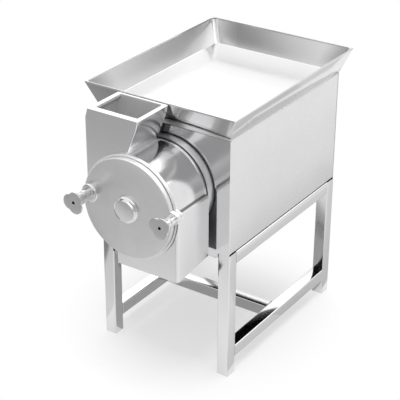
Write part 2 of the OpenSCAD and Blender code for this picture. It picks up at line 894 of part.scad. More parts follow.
// Ramp at the foot of the left wall, which leads the vegetables into the drum
module hopper_ramp() {
    toe_x = hopper_in_x + ramp_w;
    toe_z = axis_z + throat_up;
    front = mouth_y + hopper_wall;
    back = hopper_back_y - hopper_wall;
    color(polished)
        difference() {
            carry_y(front, back) polygon([
                [hopper_in_x, hopper_low_z], [toe_x, hopper_low_z], [toe_x, toe_z], [hopper_in_x, toe_z + ramp_h]]);
            rod_y(drum_r + weld_gap, front - cut, back + cut, [axis_x, axis_z]);
        }
}

// Outline of the outlet in X and Z, with the sloping shoulder at its upper right
module outlet_outline() {
    polygon([
        [axis_x - outlet_left, outlet_z], [axis_x + outlet_right, outlet_z],
        [axis_x + outlet_right, axis_z + shoulder_up - shoulder_h],
        [axis_x + sqrt(drum_r * drum_r - shoulder_up * shoulder_up), axis_z + shoulder_up],
        [axis_x, axis_z], [axis_x - outlet_left, axis_z - drum_r / 2]]);
}

module outlet_space() {
    translate([axis_x - outlet_left + outlet_wall, mouth_y + outlet_wall, outlet_z - 1])
        cube([outlet_left + outlet_right - 2 * outlet_wall, gasket_y - mouth_y - 2 * outlet_wall,
            axis_z - outlet_z + 1]);
}

module outlet_chute() {
    slope = atan(outlet_rise / (gasket_y - mouth_y));
    color(polished)
        difference() {
            intersection() {
                carry_y(mouth_y, gasket_y) outlet_outline();
                translate([0, 0, outlet_z - 1]) linear_extrude(2 * outlet_drop) outlet_plan();
            }
            outlet_space();
            rod_y(drum_r + weld_gap, mouth_y - 1, gasket_y + 1, [axis_x, axis_z]);
            rod_y(drum_r + back_plate_step + weld_gap, plate_y - weld_gap, gasket_y + 1, [axis_x, axis_z]);
            translate([0, mouth_y, outlet_z]) rotate([slope, 0, 0])
                translate([-half_w, -20, -100]) cube([stand_w, drum_len + 60, 100]);
        }
}

// Plan of the outlet, with rounded front corners
module outlet_plan() {
    left = axis_x - outlet_left;
    right = axis_x + outlet_right;
    translate([left, mouth_y + outlet_corner]) square([right - left, gasket_y - mouth_y - outlet_corner]);
    translate([left + outlet_corner, mouth_y]) square([right - left - 2 * outlet_corner, outlet_corner]);
    for (x = [left + outlet_corner, right - outlet_corner])
        translate([x, mouth_y + outlet_corner]) circle(outlet_corner);
}

// Bars along the drum over the outlet, held in an arc at each end
module discharge_grate() {
    bar_circle_r = drum_in_r - weld_gap - grate_bar_r - 1;
    color(steel)
        translate([axis_x, 0, axis_z]) {
            for (y = [mouth_y + weld_gap, plate_y - grate_end_t - weld_gap])
                carry_y(y, y + grate_end_t)
                    ring_sector(drum_in_r - weld_gap, drum_in_r - grate_end_h, grate_from, grate_to);
            for (i = [0:grate_bars - 1])
                rod_y(grate_bar_r, mouth_y + weld_gap + grate_end_t / 4, plate_y - weld_gap - grate_end_t / 4,
                    bar_circle_r * [cos(grate_bar_a(i)), sin(grate_bar_a(i))]);
        }
}

// Angle of a bar round the drum
function grate_bar_a(i) = grate_from + 3 + (grate_to - grate_from - 6) * i / (grate_bars - 1);

// Fixed knives on the drum wall, between the planes of the blades
module fixed_knives() {
    color(steel)
        translate([axis_x, 0, axis_z])
            for (a = knife_angles, row = [0:blade_rows - 2])
                let (y = rotor_mid_y + (row - (blade_rows - 2) / 2) * blade_pitch)
                    carry_y(y - knife_t / 2, y + knife_t / 2)
                        ring_sector(drum_in_r - weld_gap, drum_in_r - knife_h, a - knife_span / 2, a + knife_span / 2);
}

module chamber_bolts() {
    color(steel)
        for (i = [0:bolt_count - 1]) {
            rod_y(bolt_r, gasket_y - back_plate_t + 3, front_in_y + 1, bolt_at(i));
            hex_y(1.8 * bolt_r, front_in_y, front_in_y + 1.4 * bolt_r, bolt_at(i));
        }
}

module shaft_seal() {
    color(black)
        difference() {
            union() {
                rod_y(seal_r, plate_y, gasket_y, [axis_x, axis_z]);
                rod_y(seal_r + 5, plate_y - seal_reach, plate_y, [axis_x, axis_z]);
            }
            rod_y(shaft_r + run_gap, plate_y - seal_reach - 1, gasket_y + 1, [axis_x, axis_z]);
        }
}

// Rotor
module main_shaft() {
    color(steel) {
        rod_y(shaft_r, hub_front_y, shaft_back_y, [axis_x, axis_z]);
        rod_y(thread_r, nut_front_y - 1, hub_front_y, [axis_x, axis_z]);
        rod_y(journal_r, journal_front_y, nut_front_y - 1, [axis_x, axis_z]);
    }
}

function blade_y(row) = rotor_mid_y + (row - (blade_rows - 1) / 2) * blade_pitch;

module rotor_hub() {
    color(steel)
        difference() {
            rod_y(hub_r, hub_front_y, hub_back_y, [axis_x, axis_z]);
            rod_y(shaft_r + run_gap, hub_front_y - 1, hub_back_y + 1, [axis_x, axis_z]);
            for (row = [0:blade_rows - 1])
                translate([axis_x, 0, axis_z]) rotate([0, row * blade_turn, 0])
                    translate([-hub_r - 1, blade_y(row) - blade_t / 2, -blade_w / 2])
                        cube([2 * hub_r + 2, blade_t, blade_w]);
        }
}

// Two-armed blades with ground edges, let into the hub and turned on from row to row
module rotor_blades() {
    color(steel)
        for (row = [0:blade_rows - 1])
            difference() {
                translate([axis_x, blade_y(row), axis_z]) rotate([0, row * blade_turn, 0]) {
                    blade_arm();
                    rotate([0, 180, 0]) blade_arm();
                }
                rod_y(shaft_r + run_gap, blade_y(row) - blade_t, blade_y(row) + blade_t, [axis_x, axis_z]);
            }
}

// One arm of a blade along X, as thick as its slot up to the hub and ground to an edge beyond it
module blade_arm() {
    ground_from = hub_r + 2;
    intersection() {
        carry_y(-blade_t / 2, blade_t / 2) blade_outline();
        union() {
            translate([0, -blade_t / 2, -blade_w]) cube([ground_from, blade_t, 2 * blade_w]);
            translate([ground_from, 0, 0]) rotate([90, 0, 90]) linear_extrude(blade_tip_r) blade_ground();
        }
    }
}

module blade_outline() {
    shoulder_r = hub_r + 12;
    intersection() {
        polygon([[0, -blade_w / 2], [hub_r + 2, -blade_w / 2], [shoulder_r, -blade_edge],
            [1.1 * blade_tip_r, -blade_edge], [1.1 * blade_tip_r, blade_w / 2 - blade_taper],
            [shoulder_r, blade_w / 2], [0, blade_w / 2]]);
        circle(blade_tip_r);
    }
}

// Section of a blade across its arm: flat on one side, ground towards the edge on the other
module blade_ground() {
    half = blade_t / 2;
    tip = blade_t / 10;
    polygon([[-half, blade_w], [half, blade_w], [half, -blade_edge + blade_ground_w],
        [-half + tip, -blade_edge], [-half + tip, -blade_edge - cut], [-half, -blade_edge - cut]]);
}

module rotor_nut() {
    color(steel)
        difference() {
            hex_y(nut_w / 2, nut_front_y, hub_front_y, [axis_x, axis_z]);
            rod_y(thread_r + run_gap, nut_front_y - 1, hub_front_y + 1, [axis_x, axis_z]);
        }
}

// Half section of a pulley with one V groove: radius and distance from its middle
module pulley_section(r, bore, web) {
    groove = belt_w / 2 + side_gap;
    depth = belt_t + 2;
    half = pulley_w / 2;
    rim_in = r - depth - 4;
    polygon([
        [bore, -half], [bore + 12, -half], [bore + 12, -web], [rim_in, -web], [rim_in, -half],
        [r, -half], [r, -groove], [r - depth, -groove + depth * belt_slant],
        [r - depth, groove - depth * belt_slant], [r, groove], [r, half],
        [rim_in, half], [rim_in, web], [bore + 12, web], [bore + 12, half], [bore, half]]);
}

module driven_pulley() {
    web_r = (big_pulley_r + shaft_r) / 2;
    color(dark_metal)
        difference() {
            turned_y([axis_x, axis_z], pulley_y) pulley_section(big_pulley_r, shaft_r + run_gap, 5);
            for (i = [0:4])
                rod_y(11, pulley_y - pulley_w, pulley_y + pulley_w,
                    [axis_x + web_r * cos(72 * i), axis_z + web_r * sin(72 * i)]);
        }
}

module motor_pulley() {
    color(dark_metal)
        turned_y([motor_x, motor_z], pulley_y) pulley_section(small_pulley_r, motor_shaft_r + run_gap, 8);
}

// Section of the belt across its run: distance out from the pulley rim and along the shaft
module belt_section(r, inset) {
    out = belt_w / 2 - inset;
    in = belt_w / 2 - belt_t * belt_slant - inset;
    polygon([[r - belt_t + inset, -in], [r - inset, -out], [r - inset, out], [r - belt_t + inset, in]]);
}

// Two bends of the belt and the straight runs between them, which lap into the bends
module v_belt() {
    color(black)
        translate([axis_x, pulley_y, axis_z]) rotate([0, -belt_dir, 0]) {
            belt_bend(big_pulley_r, belt_lean, 360 - 2 * belt_lean);
            translate([belt_run, 0, 0]) belt_bend(small_pulley_r, -belt_lean, 2 * belt_lean);
            for (side = [-1, 1])
                translate([big_pulley_r * cos(belt_lean), 0, side * big_pulley_r * sin(belt_lean)])
                    rotate([0, side * (90 - belt_lean), 0]) belt_straight(side);
        }
}

module belt_bend(r, from, sweep) {
    rotate([90, 0, 0]) rotate([0, 0, from]) rotate_extrude(angle = sweep) belt_section(r, 0);
}

module belt_straight(side) {
    run = sqrt(belt_run * belt_run - pow(big_pulley_r - small_pulley_r, 2));
    translate([-belt_lap, 0, 0]) rotate([90, 0, 90]) linear_extrude(run + 2 * belt_lap)
        rotate(90 * side) belt_section(0, belt_inset);
}

// Bench under both bearing blocks: a column with its feet turned inwards, and a wider top plate
module shaft_pedestal() {
    front = front_bearing_y - bearing_d / 2 - 2;
    back = rear_bearing_y + bearing_d / 2 + 2;
    foot_w = 18;
    outer_w = bench_w / 2;
    inner_w = outer_w - pedestal_t;
    height = pedestal_top_z - pan_floor_z;
    color(dark_metal)
        difference() {
            translate([axis_x, 0, pan_floor_z]) carry_y(front, back) {
                difference() {
                    translate([-outer_w, 0]) square([bench_w, height]);
                    translate([-inner_w, pedestal_t]) square([2 * inner_w, height - 2 * pedestal_t]);
                    translate([-inner_w + foot_w, -cut]) square([2 * (inner_w - foot_w), pedestal_t + 2 * cut]);
                }
                translate([-bench_top_half_w, height - pedestal_t]) square([2 * bench_top_half_w, pedestal_t]);
            }
            block_bolt_holes(front_bearing_y, pedestal_top_z - pedestal_t);
            block_bolt_holes(rear_bearing_y, pedestal_top_z - pedestal_t);
        }
}

// Bolt holes through a block foot and the bench top, from the height low
module block_bolt_holes(y, low) {
    for (side = [-1, 1])
        translate([axis_x + side * block_bolt_x, y, low - cut])
            cylinder(r = block_bolt_r + hole_gap, h = pedestal_top_z + block_foot_t - low + 2 * cut);
}

// Bearing block: a foot with two bolt holes and a round housing over it
module bearing_block(y) {
    front = y - bearing_d / 2;
    back = y + bearing_d / 2;
    housing_r = insert_r + 10;
    root_w = housing_r + 6;
    color("slategray")
        difference() {
            union() {
                translate([axis_x, 0, pedestal_top_z]) carry_y(front, back) {
                    translate([-block_w / 2, 0]) square([block_w, block_foot_t]);
                    polygon([[-root_w, 0], [root_w, 0], [housing_r - 1, bearing_h], [1 - housing_r, bearing_h]]);
                }
                rod_y(housing_r, front, back, [axis_x, axis_z]);
            }
            rod_y(insert_r + run_gap, front - cut, back + cut, [axis_x, axis_z]);
            block_bolt_holes(y, pedestal_top_z);
        }
}

module bearing_inserts() {
    color(steel)
        for (y = [front_bearing_y, rear_bearing_y])
            tube_y(insert_r, shaft_r + run_gap, y - bearing_d / 2 - 2, y + bearing_d / 2 + 2, [axis_x, axis_z]);
}

module bearing_bolts() {
    nut_z = pedestal_top_z - pedestal_t - 1.6 * block_bolt_r;
    head_z = pedestal_top_z + block_foot_t;
    color(steel)
        for (y = [front_bearing_y, rear_bearing_y], side = [-1, 1])
            translate([axis_x + side * block_bolt_x, y, 0]) {
                translate([0, 0, nut_z]) cylinder(r = block_bolt_r, h = head_z + cut - nut_z);
                translate([0, 0, head_z]) cylinder(r = 1.8 * block_bolt_r, h = 1.2 * block_bolt_r, $fn = 6);
                translate([0, 0, nut_z]) cylinder(r = 1.8 * block_bolt_r, h = 1.6 * block_bolt_r, $fn = 6);
            }
}

// Motor
module at_motor_feet() {
    for (sx = [-1, 1], sy = [-1, 1])
        translate([motor_x + sx * motor_foot_x, motor_mid_y + sy * motor_foot_y, 0]) children();
}

module motor_rails() {
    rail_w = 20;
    half_len = motor_foot_y + 25;
    color(dark_metal)
        difference() {
            for (side = [-1, 1])
                translate([motor_x + side * motor_foot_x - rail_w / 2, motor_mid_y - half_len, pan_floor_z])
                    cube([rail_w, 2 * half_len, motor_rail_t]);
            at_motor_feet() translate([0, 0, pan_floor_z - cut])
                cylinder(r = motor_bolt_r + hole_gap, h = motor_rail_t + 2 * cut);
        }
}

// Finned motor frame with its feet and a flat pad for the terminal box
module motor_frame() {
    foot_w = 18;
    half_len = motor_foot_y + 18;
    end_bore = 22;
    color("slategray")
        difference() {
            union() {
                rod_y(motor_r, motor_front_y, motor_back_y, [motor_x, motor_z]);
                for (i = [0:fin_count - 1])
                    translate([motor_x, 0, motor_z]) rotate([0, 360 * i / fin_count, 0]) motor_fin();
                for (side = [-1, 1])
                    translate([motor_x + side * motor_foot_x - foot_w / 2, motor_mid_y, motor_foot_z]) {
                        translate([0, -half_len, 0]) cube([foot_w, 2 * half_len, motor_foot_t]);
                        translate([0, -motor_foot_y, 0])
                            cube([foot_w, 2 * motor_foot_y, motor_h - 0.4 * motor_r]);
                    }
                translate([motor_x - box_half_w - motor_pad_t, motor_mid_y - box_half_d - motor_pad_t, motor_z])
                    cube([2 * (box_half_w + motor_pad_t), 2 * (box_half_d + motor_pad_t),
                        motor_out_r + motor_pad_t]);
            }
            rod_y(motor_r - frame_wall, motor_front_y - cut, motor_front_y + end_bore, [motor_x, motor_z]);
            rod_y(motor_r - stator_t, motor_front_y, motor_back_y, [motor_x, motor_z]);
            rod_y(motor_r - frame_wall, motor_back_y - end_bore, motor_back_y + cut, [motor_x, motor_z]);
            at_motor_feet() translate([0, 0, motor_foot_z - cut])
                cylinder(r = motor_bolt_r + hole_gap, h = motor_foot_t + 2 * cut);
            at_motor_feet() translate([0, 0, motor_foot_z + motor_foot_t])
                cylinder(r = 2.4 * motor_bolt_r, h = 22);
        }
}

module motor_fin() {
    fin_t = 2.5;
    root = 2;
    margin = 4;
    translate([motor_r - root, motor_front_y + margin, -fin_t / 2])
        cube([fin_h + root, motor_len - 2 * margin, fin_t]);
}

// End shields at both ends of the motor frame
module motor_shields() {
    color("slategray")
        for (y = [motor_back_y, motor_front_y - shield_t])
            tube_y(motor_out_r, motor_shaft_r + run_gap, y, y + shield_t, [motor_x, motor_z]);
}

fan_front_gap = 8;
fan_back_gap = 10;
fan_front_y = motor_front_y - shield_t - fan_room + fan_front_gap;
fan_len = fan_room - fan_front_gap - fan_back_gap;
fan_shaft_r = motor_shaft_r - 2;

module motor_fan() {
    blade_r = motor_r - 10;
    color(black)
        difference() {
            union() {
                rod_y(fan_hub_r, fan_front_y, fan_front_y + fan_len, [motor_x, motor_z]);
                rod_y(blade_r + 2, fan_front_y + fan_len - fan_plate_t, fan_front_y + fan_len, [motor_x, motor_z]);
                for (i = [0:5])
                    translate([motor_x, fan_front_y, motor_z]) rotate([0, 60 * i, 0])
                        translate([fan_hub_r - 3, 0, -1.5]) cube([blade_r - fan_hub_r + 3, fan_len - cut, 3]);
            }
            rod_y(fan_shaft_r + run_gap, fan_front_y - cut, fan_front_y + fan_len + cut, [motor_x, motor_z]);
        }
}

// Sheet hood over the fan, with slots in its end
module motor_fan_cover() {
    back = motor_front_y - shield_t;
    wall = 2;
    bend = 8;
    slots = 12;
    color("slategray")
        difference() {
            turned_y([motor_x, motor_z], back) polygon([
                [motor_out_r - wall, 0], [motor_out_r, 0], [motor_out_r, fan_room - bend],
                [motor_out_r - bend, fan_room], [0, fan_room], [0, fan_room - wall],
                [motor_out_r - bend - wall / 2, fan_room - wall], [motor_out_r - wall, fan_room - bend - wall / 2]]);
            for (i = [0:slots - 1])
                translate([motor_x, back - fan_room - cut, motor_z]) rotate([0, 360 * i / slots, 0])
                    translate([14, 0, -2]) cube([motor_r - 22, wall + 2 * cut, 4]);
        }
}

box_half_w = 36;
box_half_d = 40;

module terminal_box() {
    z = motor_z + motor_out_r + motor_pad_t;
    box_h = 24;
    lid_t = 5;
    lid_out = 3;
    color("slategray") {
        translate([motor_x - box_half_w, motor_mid_y - box_half_d, z])
            cube([2 * box_half_w, 2 * box_half_d, box_h]);
        translate([motor_x - box_half_w - lid_out, motor_mid_y - box_half_d - lid_out, z + box_h])
            cube([2 * (box_half_w + lid_out), 2 * (box_half_d + lid_out), lid_t]);
    }
}

module motor_shaft() {
    step_y = motor_front_y - shield_t - cut;
    core_margin = 25;
    color(steel) {
        rod_y(motor_shaft_r, step_y, pulley_y + pulley_w / 2 + 3, [motor_x, motor_z]);
        rod_y(fan_shaft_r, fan_front_y - 2, step_y, [motor_x, motor_z]);
        rod_y(motor_r - stator_t - rotor_gap, motor_front_y + core_margin, motor_back_y - core_margin,
            [motor_x, motor_z]);
    }
}

module motor_bolts() {
    head_z = motor_foot_z + motor_foot_t;
    color(steel)
        at_motor_feet() {
            translate([0, 0, pan_floor_z]) cylinder(r = motor_bolt_r, h = head_z + cut - pan_floor_z);
            translate([0, 0, head_z]) cylinder(r = 1.8 * motor_bolt_r, h = 1.2 * motor_bolt_r, $fn = 6);
        }
}

// Door
// Round door with a hollow back, a rounded front edge and a lug for the right clamp
module door_plate() {
    inner = flange_in_r;
    color(polished)
        difference() {
            union() {
                turned_y([axis_x, axis_z], door_seal_y) door_profile(inner);
                rod_y(lug_r, door_y, door_seal_y, clamp_right);
            }
            rod_y(boss_r - 8 + weld_gap, door_y - 1, door_seal_y + 1, [axis_x, axis_z]);
            rod_y(screw_r + run_gap, door_y - 1, door_seal_y + 1, clamp_right);
            rod_y(screw_r + run_gap, door_y - 1, door_seal_y + 1, clamp_left);
        }
}

module door_profile(inner) {
    difference() {
        square([door_r, door_rim_t]);
        translate([-1, -1]) square([inner + 1, door_rim_t - door_face_t + 1]);
        translate([door_r - door_round, door_rim_t - door_round]) difference() {
            square([door_round + 1, door_round + 1]);
            circle(door_round);
        }
    }
}

module door_gasket() {
    color(black)
        tube_y(door_r - 2, flange_in_r + 3, flange_y - door_seal_t, flange_y - side_gap * 0.6, [axis_x, axis_z]);
}

// Turned cap in the middle of the door, with a spigot through the door face
module door_boss() {
    spigot_r = boss_r - 8;
    color(polished)
        difference() {
            union() {
                turned_y([axis_x, axis_z], door_y) difference() {
                    square([boss_r, boss_h]);
                    translate([boss_r - boss_round, boss_h - boss_round]) difference() {
                        square([boss_round + 1, boss_round + 1]);
                        circle(boss_round);
                    }
                }
                rod_y(spigot_r, door_y, door_y + door_face_t + 4, [axis_x, axis_z]);
            }
            rod_y(journal_r + bush_wall + weld_gap, boss_y + 4, door_seal_y, [axis_x, axis_z]);
        }
}

module door_bush() {
    color("peru")
        tube_y(journal_r + bush_wall, journal_r + run_gap, boss_y + 4, door_y + door_face_t + 4, [axis_x, axis_z]);
}

// Collar on the door that carries the left knob
module clamp_collar() {
    color(polished)
        difference() {
            turned_y(clamp_left, door_y) difference() {
                square([clamp_collar_r, clamp_collar_h]);
                translate([clamp_collar_r - 4, clamp_collar_h - 4]) difference() {
                    square([5, 5]);
                    circle(4);
                }
            }
            rod_y(screw_r + run_gap, door_y - clamp_collar_h - 1, door_y + 1, clamp_left);
        }
}

// Clamp knob: a grooved sleeve, a three-lobed plate and the screw that runs through the door
module clamp_knob(at, seat_y, length, turn) {
    plate_back_y = seat_y - length + knob_plate_t;
    groove_y = plate_back_y + 0.52 * (length - knob_plate_t);
    color(polished)
        difference() {
            union() {
                rod_y(sleeve_r, plate_back_y, seat_y, at);
                rod_y(screw_r, seat_y - 1, screw_end_y, at);
                translate([at[0], 0, at[1]]) carry_y(seat_y - length, plate_back_y) rotate(turn) knob_outline();
            }
            rod_y(knob_hole_r, seat_y - length - 1, seat_y - length + 14, at);
            tube_y(sleeve_r + 1, sleeve_r - sleeve_groove, groove_y - 2, groove_y + 2, at);
        }
}

// Three round lobes that meet in shallow notches
module knob_outline() {
    for (i = [0:2])
        rotate(120 * i) translate([lobe_off, 0]) circle(lobe_r);
}

module clamp_knob_left() {
    clamp_knob(clamp_left, knob_left_seat_y, knob_left_len, knob_left_turn);
}

module clamp_knob_right() {
    clamp_knob(clamp_right, knob_right_seat_y, knob_right_len, knob_right_turn);
}

home() leg(-1, -1);  // leg_front_left
home() leg(1, -1);  // leg_front_right
home() leg(-1, 1);  // leg_rear_left
home() leg(1, 1);  // leg_rear_right
home() leg_end_plates();
home() side_rail(-1, low_rail_z);  // lower_rail_left
home() side_rail(1, low_rail_z);  // lower_rail_right
home() cross_rail(-cross_rail_ahead, low_rail_z);  // lower_cross_rail
home() side_rail(-1, stand_h - tube);  // upper_rail_left
home() side_rail(1, stand_h - tube);  // upper_rail_right
home() cross_rail(half_d - tube / 2, stand_h - tube);  // upper_rail_rear
home() belly_pan();
home() front_panel();
home() side_panel(-1);  // side_panel_left
home() side_panel(1);  // side_panel_right
home() rear_cover();
home() rear_cover_screws();
home() cable_gland();
home() switch_box();
home() switch_handle();
home() tray();
home() mounting_collar();
home() collar_gasket();
home() drum_back_plate();
home() drum_shell();
home() drum_front_flange();
home() hopper();
home() hopper_ramp();
home() outlet_chute();
home() discharge_grate();
home() fixed_knives();
home() chamber_bolts();
home() shaft_seal();
home() main_shaft();
home() rotor_hub();
home() rotor_blades();
home() rotor_nut();
home() driven_pulley();
home() shaft_pedestal();
home() bearing_block(front_bearing_y);  // bearing_block_front
home() bearing_block(rear_bearing_y);  // bearing_block_rear
home() bearing_inserts();
home() bearing_bolts();
home() motor_rails();
home() motor_frame();
home() motor_shields();
home() motor_fan();
home() motor_fan_cover();
home() terminal_box();
home() motor_shaft();
home() motor_pulley();
home() v_belt();
home() motor_bolts();
home() door_plate();
home() door_gasket();
home() door_boss();
home() door_bush();
home() clamp_collar();
home() clamp_knob_left();
home() clamp_knob_right();
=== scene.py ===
"""Looks of a vegetable cutting machine: stainless sheet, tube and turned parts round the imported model."""

import logging
import math
from dataclasses import dataclass
from enum import Enum
from typing import Any, Optional, Sequence

import bmesh
import bpy
import numpy as np
from mathutils import Euler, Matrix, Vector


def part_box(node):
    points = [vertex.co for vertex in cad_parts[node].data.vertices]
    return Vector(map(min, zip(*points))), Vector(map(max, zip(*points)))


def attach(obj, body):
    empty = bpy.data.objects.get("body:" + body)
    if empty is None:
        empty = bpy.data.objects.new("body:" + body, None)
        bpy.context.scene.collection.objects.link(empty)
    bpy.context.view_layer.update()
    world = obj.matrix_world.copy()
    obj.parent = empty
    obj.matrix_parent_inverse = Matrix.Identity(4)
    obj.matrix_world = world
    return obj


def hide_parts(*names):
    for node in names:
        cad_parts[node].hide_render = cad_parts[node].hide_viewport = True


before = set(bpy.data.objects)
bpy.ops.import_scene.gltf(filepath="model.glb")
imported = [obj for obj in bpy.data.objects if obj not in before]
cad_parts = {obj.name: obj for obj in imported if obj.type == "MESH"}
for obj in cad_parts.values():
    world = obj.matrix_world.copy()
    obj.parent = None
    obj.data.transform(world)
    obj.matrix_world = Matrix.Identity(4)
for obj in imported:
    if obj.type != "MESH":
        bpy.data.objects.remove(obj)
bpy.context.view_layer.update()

log = logging.getLogger("cutting_machine")

Points = np.ndarray
Reach = np.ndarray | float
Pair = tuple[float, float]
Triple = tuple[float, float, float]
Sockets = dict[Any, Any]

MM = 0.001
WHITE = (1.0, 1.0, 1.0, 1.0)
# The stand's middle lies behind the middle of the whole outline; the tray is centred over the stand.
STAND_Y = sum(corner[1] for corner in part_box("tray")) / 2 / MM
# The shaft axis in X and Z. Lengths are in millimetres from the stand's middle and from the floor.
AXIS: Pair = (16.0, 593.0)
DRUM_R = 147.0
SEAT_R = 147.3
FRONT_Y = -310.0
MOUTH_Y = -484.0
# Each clamp's distance from the shaft axis and its bearing in degrees, and the lug under the right one.
CLAMP_LEFT: Pair = (122.0, 170.0)
CLAMP_RIGHT: Pair = (157.0, 6.0)
LUG_R = 17.0
# The eased outer edge of the thicker turned parts, and how far its middle is cut back.
EASE = 1.2
EASE_MIDDLE = 0.35


# Surfaces


class Along(Enum):
    """An axis that something runs along."""

    X = "x"
    Y = "y"
    Z = "z"


def set_out(across: Reach, up: Reach, station: Reach, along: Along) -> Points:
    """Puts a section's two coordinates and its station along an axis into X, Y and Z.

    Args:
        across: the section's first coordinate, in X, or in Y for a piece along X.
        up: the section's second coordinate, in Z, or in Y for a piece along Z.
        station: the place along the axis.
        along: the axis.

    Returns:
        Points with X, Y and Z last.
    """
    across, up, station = np.broadcast_arrays(across, up, station)
    order = {Along.X: (station, across, up), Along.Y: (across, station, up), Along.Z: (across, up, station)}
    return np.stack(order[along], axis=-1)


@dataclass(frozen=True)
class Loop:
    """A closed run of columns round a rectangle with rounded corners.

    Each column is a share of the straight sides and a unit outward direction, so a point is the middle, plus
    the share times the half side less the radius, plus the radius times the direction.
    """

    share: Points
    outward: Points

    @staticmethod
    def plan(side_u: int, side_v: int, arc: int) -> "Loop":
        """Spreads the columns over the sides and the corners, anticlockwise from the corner at the far right.

        Args:
            side_u: steps along each side that runs in the first direction.
            side_v: steps along each side that runs in the second direction.
            arc: steps round each corner.

        Returns:
            The loop.
        """
        corners = np.array(((1.0, 1.0), (-1.0, 1.0), (-1.0, -1.0), (1.0, -1.0)))
        share, outward = [], []
        for quarter, (corner, ahead) in enumerate(zip(corners, np.roll(corners, -1, axis=0))):
            turn = np.radians(90.0 * quarter + np.linspace(0.0, 90.0, arc + 1))
            bend = np.stack([np.cos(turn), np.sin(turn)], axis=-1)
            run = np.linspace(0.0, 1.0, (side_v if quarter % 2 else side_u) + 1)[1:-1, None]
            share += [np.tile(corner, (arc + 1, 1)), corner + run * (ahead - corner)]
            outward += [bend, np.tile(bend[-1], (len(run), 1))]
        return Loop(np.concatenate(share), np.concatenate(outward))

    def at(self, low: Any, high: Any, radius: float) -> Points:
        """Gives the two coordinates of each column for a rectangle between two corners."""
        low, high = np.asarray(low), np.asarray(high)
        return (low + high) / 2 + self.share * ((high - low) / 2 - radius) + radius * self.outward

    def level(self, low: Any, high: Any, radius: float, z: float) -> Points:
        """Lays the loop flat at a height."""
        return set_out(*self.at(low, high, radius).T, z, Along.Z)


class Shell:
    """Grids of points, in millimetres from the stand's middle, that together close one piece."""

    def __init__(self) -> None:
        """Starts with no points."""
        self._points: list[Points] = []
        self._faces: list[Points] = []
        self._count = 0

    def _places(self, points: Points, wrap: bool) -> Points:
        """Stores a grid and numbers its points.

        Args:
            points: rows by columns by three.
            wrap: whether the first column stands again at the end.

        Returns:
            Each point's number.
        """
        rows, columns = points.shape[:2]
        index = np.arange(rows * columns).reshape(rows, columns) + self._count
        self._points.append(points.reshape(-1, 3))
        self._count += rows * columns
        return np.concatenate([index, index[:, :1]], axis=1) if wrap else index

    @staticmethod
    def _cells(index: Points) -> Points:
        """Gives the four corners of each cell of a numbered grid."""
        return np.stack([index[:-1, :-1], index[:-1, 1:], index[1:, 1:], index[1:, :-1]], axis=-1)

    def rows(self, rows: Sequence[Points], wrap: bool = True, closed: bool = False) -> "Shell":
        """Adds the faces between neighbouring rows and columns.

        Args:
            rows: like rows of points.
            wrap: whether the last column joins the first.
            closed: whether the last row joins the first.

        Returns:
            The shell itself.
        """
        stack = np.stack(list(rows) + ([rows[0]] if closed else []))
        self._faces.append(self._cells(self._places(stack, wrap)).reshape(-1, 4))
        return self

    def lid(self, loop: Points) -> "Shell":
        """Closes a flat loop with a fan to its middle."""
        return self.rows([loop, np.repeat(loop.mean(axis=0)[None], len(loop), axis=0)])

    def walled(self, outer: Points, inner: Points, keep: Points, wrap: bool = True) -> "Shell":
        """Adds a wall between two like grids, with windows where cells are not kept.

        The kept cells show on both grids, and an edge between a kept cell and none gets a face from one grid
        to the other.

        Args:
            outer: rows by columns by three.
            inner: the same for the inner face.
            keep: one flag for each cell, rows less one by columns (columns less one without wrap).
            wrap: whether the last column joins the first.

        Returns:
            The shell itself.
        """
        near, far = self._places(outer, wrap), self._places(inner, wrap)
        self._faces += [self._cells(near)[keep], self._cells(far)[keep]]
        level = np.pad(keep, ((1, 1), (0, 0)))
        beside = keep != np.roll(keep, 1, axis=1)
        if not wrap:
            upright = np.pad(keep, ((0, 0), (1, 1)))
            beside = upright[:, 1:] != upright[:, :-1]
        for edges, down, over in ((level[1:] != level[:-1], 0, 1), (beside, 1, 0)):
            row, column = np.nonzero(edges)
            here, there = (row, column), (row + down, column + over)
            self._faces.append(np.stack([near[here], near[there], far[there], far[here]], axis=-1))
        return self

    def build(self, name: str, sharp: float, bevel: float = 0.0) -> bpy.types.Object:
        """Makes the object: merged, outward, smooth up to an angle, with its edges eased.

        Args:
            name: the object's name.
            sharp: the angle in degrees over which an edge stays sharp.
            bevel: the width in millimetres by which sharp edges are eased, or 0.

        Returns:
            The new object at the origin.
        """
        merge, thin = 0.004 * MM, 0.002 * MM
        points = np.concatenate(self._points) + (0.0, STAND_Y, 0.0)
        mesh = bpy.data.meshes.new(name)
        mesh.from_pydata((points * MM).tolist(), [], np.concatenate(self._faces).tolist())
        work = bmesh.new()
        work.from_mesh(mesh)
        bmesh.ops.remove_doubles(work, verts=work.verts, dist=merge)
        bmesh.ops.dissolve_degenerate(work, edges=work.edges, dist=thin)
        bmesh.ops.recalc_face_normals(work, faces=work.faces)
        work.to_mesh(mesh)
        open_edges = sum(1 for edge in work.edges if len(edge.link_faces) != 2)
        work.free()
        if open_edges:
            log.warning("%s has %d open edges", name, open_edges)
        mesh.polygons.foreach_set("use_smooth", np.ones(len(mesh.polygons), bool))
        mesh.set_sharp_from_angle(angle=math.radians(sharp))
        mesh.update()
        piece = bpy.data.objects.new(name, mesh)
        bpy.context.collection.objects.link(piece)
        if bevel:
            ease = piece.modifiers.new("eased_edges", "BEVEL")
            ease.width = bevel * MM
            ease.segments = 2
            ease.limit_method = "ANGLE"
            ease.angle_limit = math.radians(sharp)
            ease.harden_normals = True
        return piece


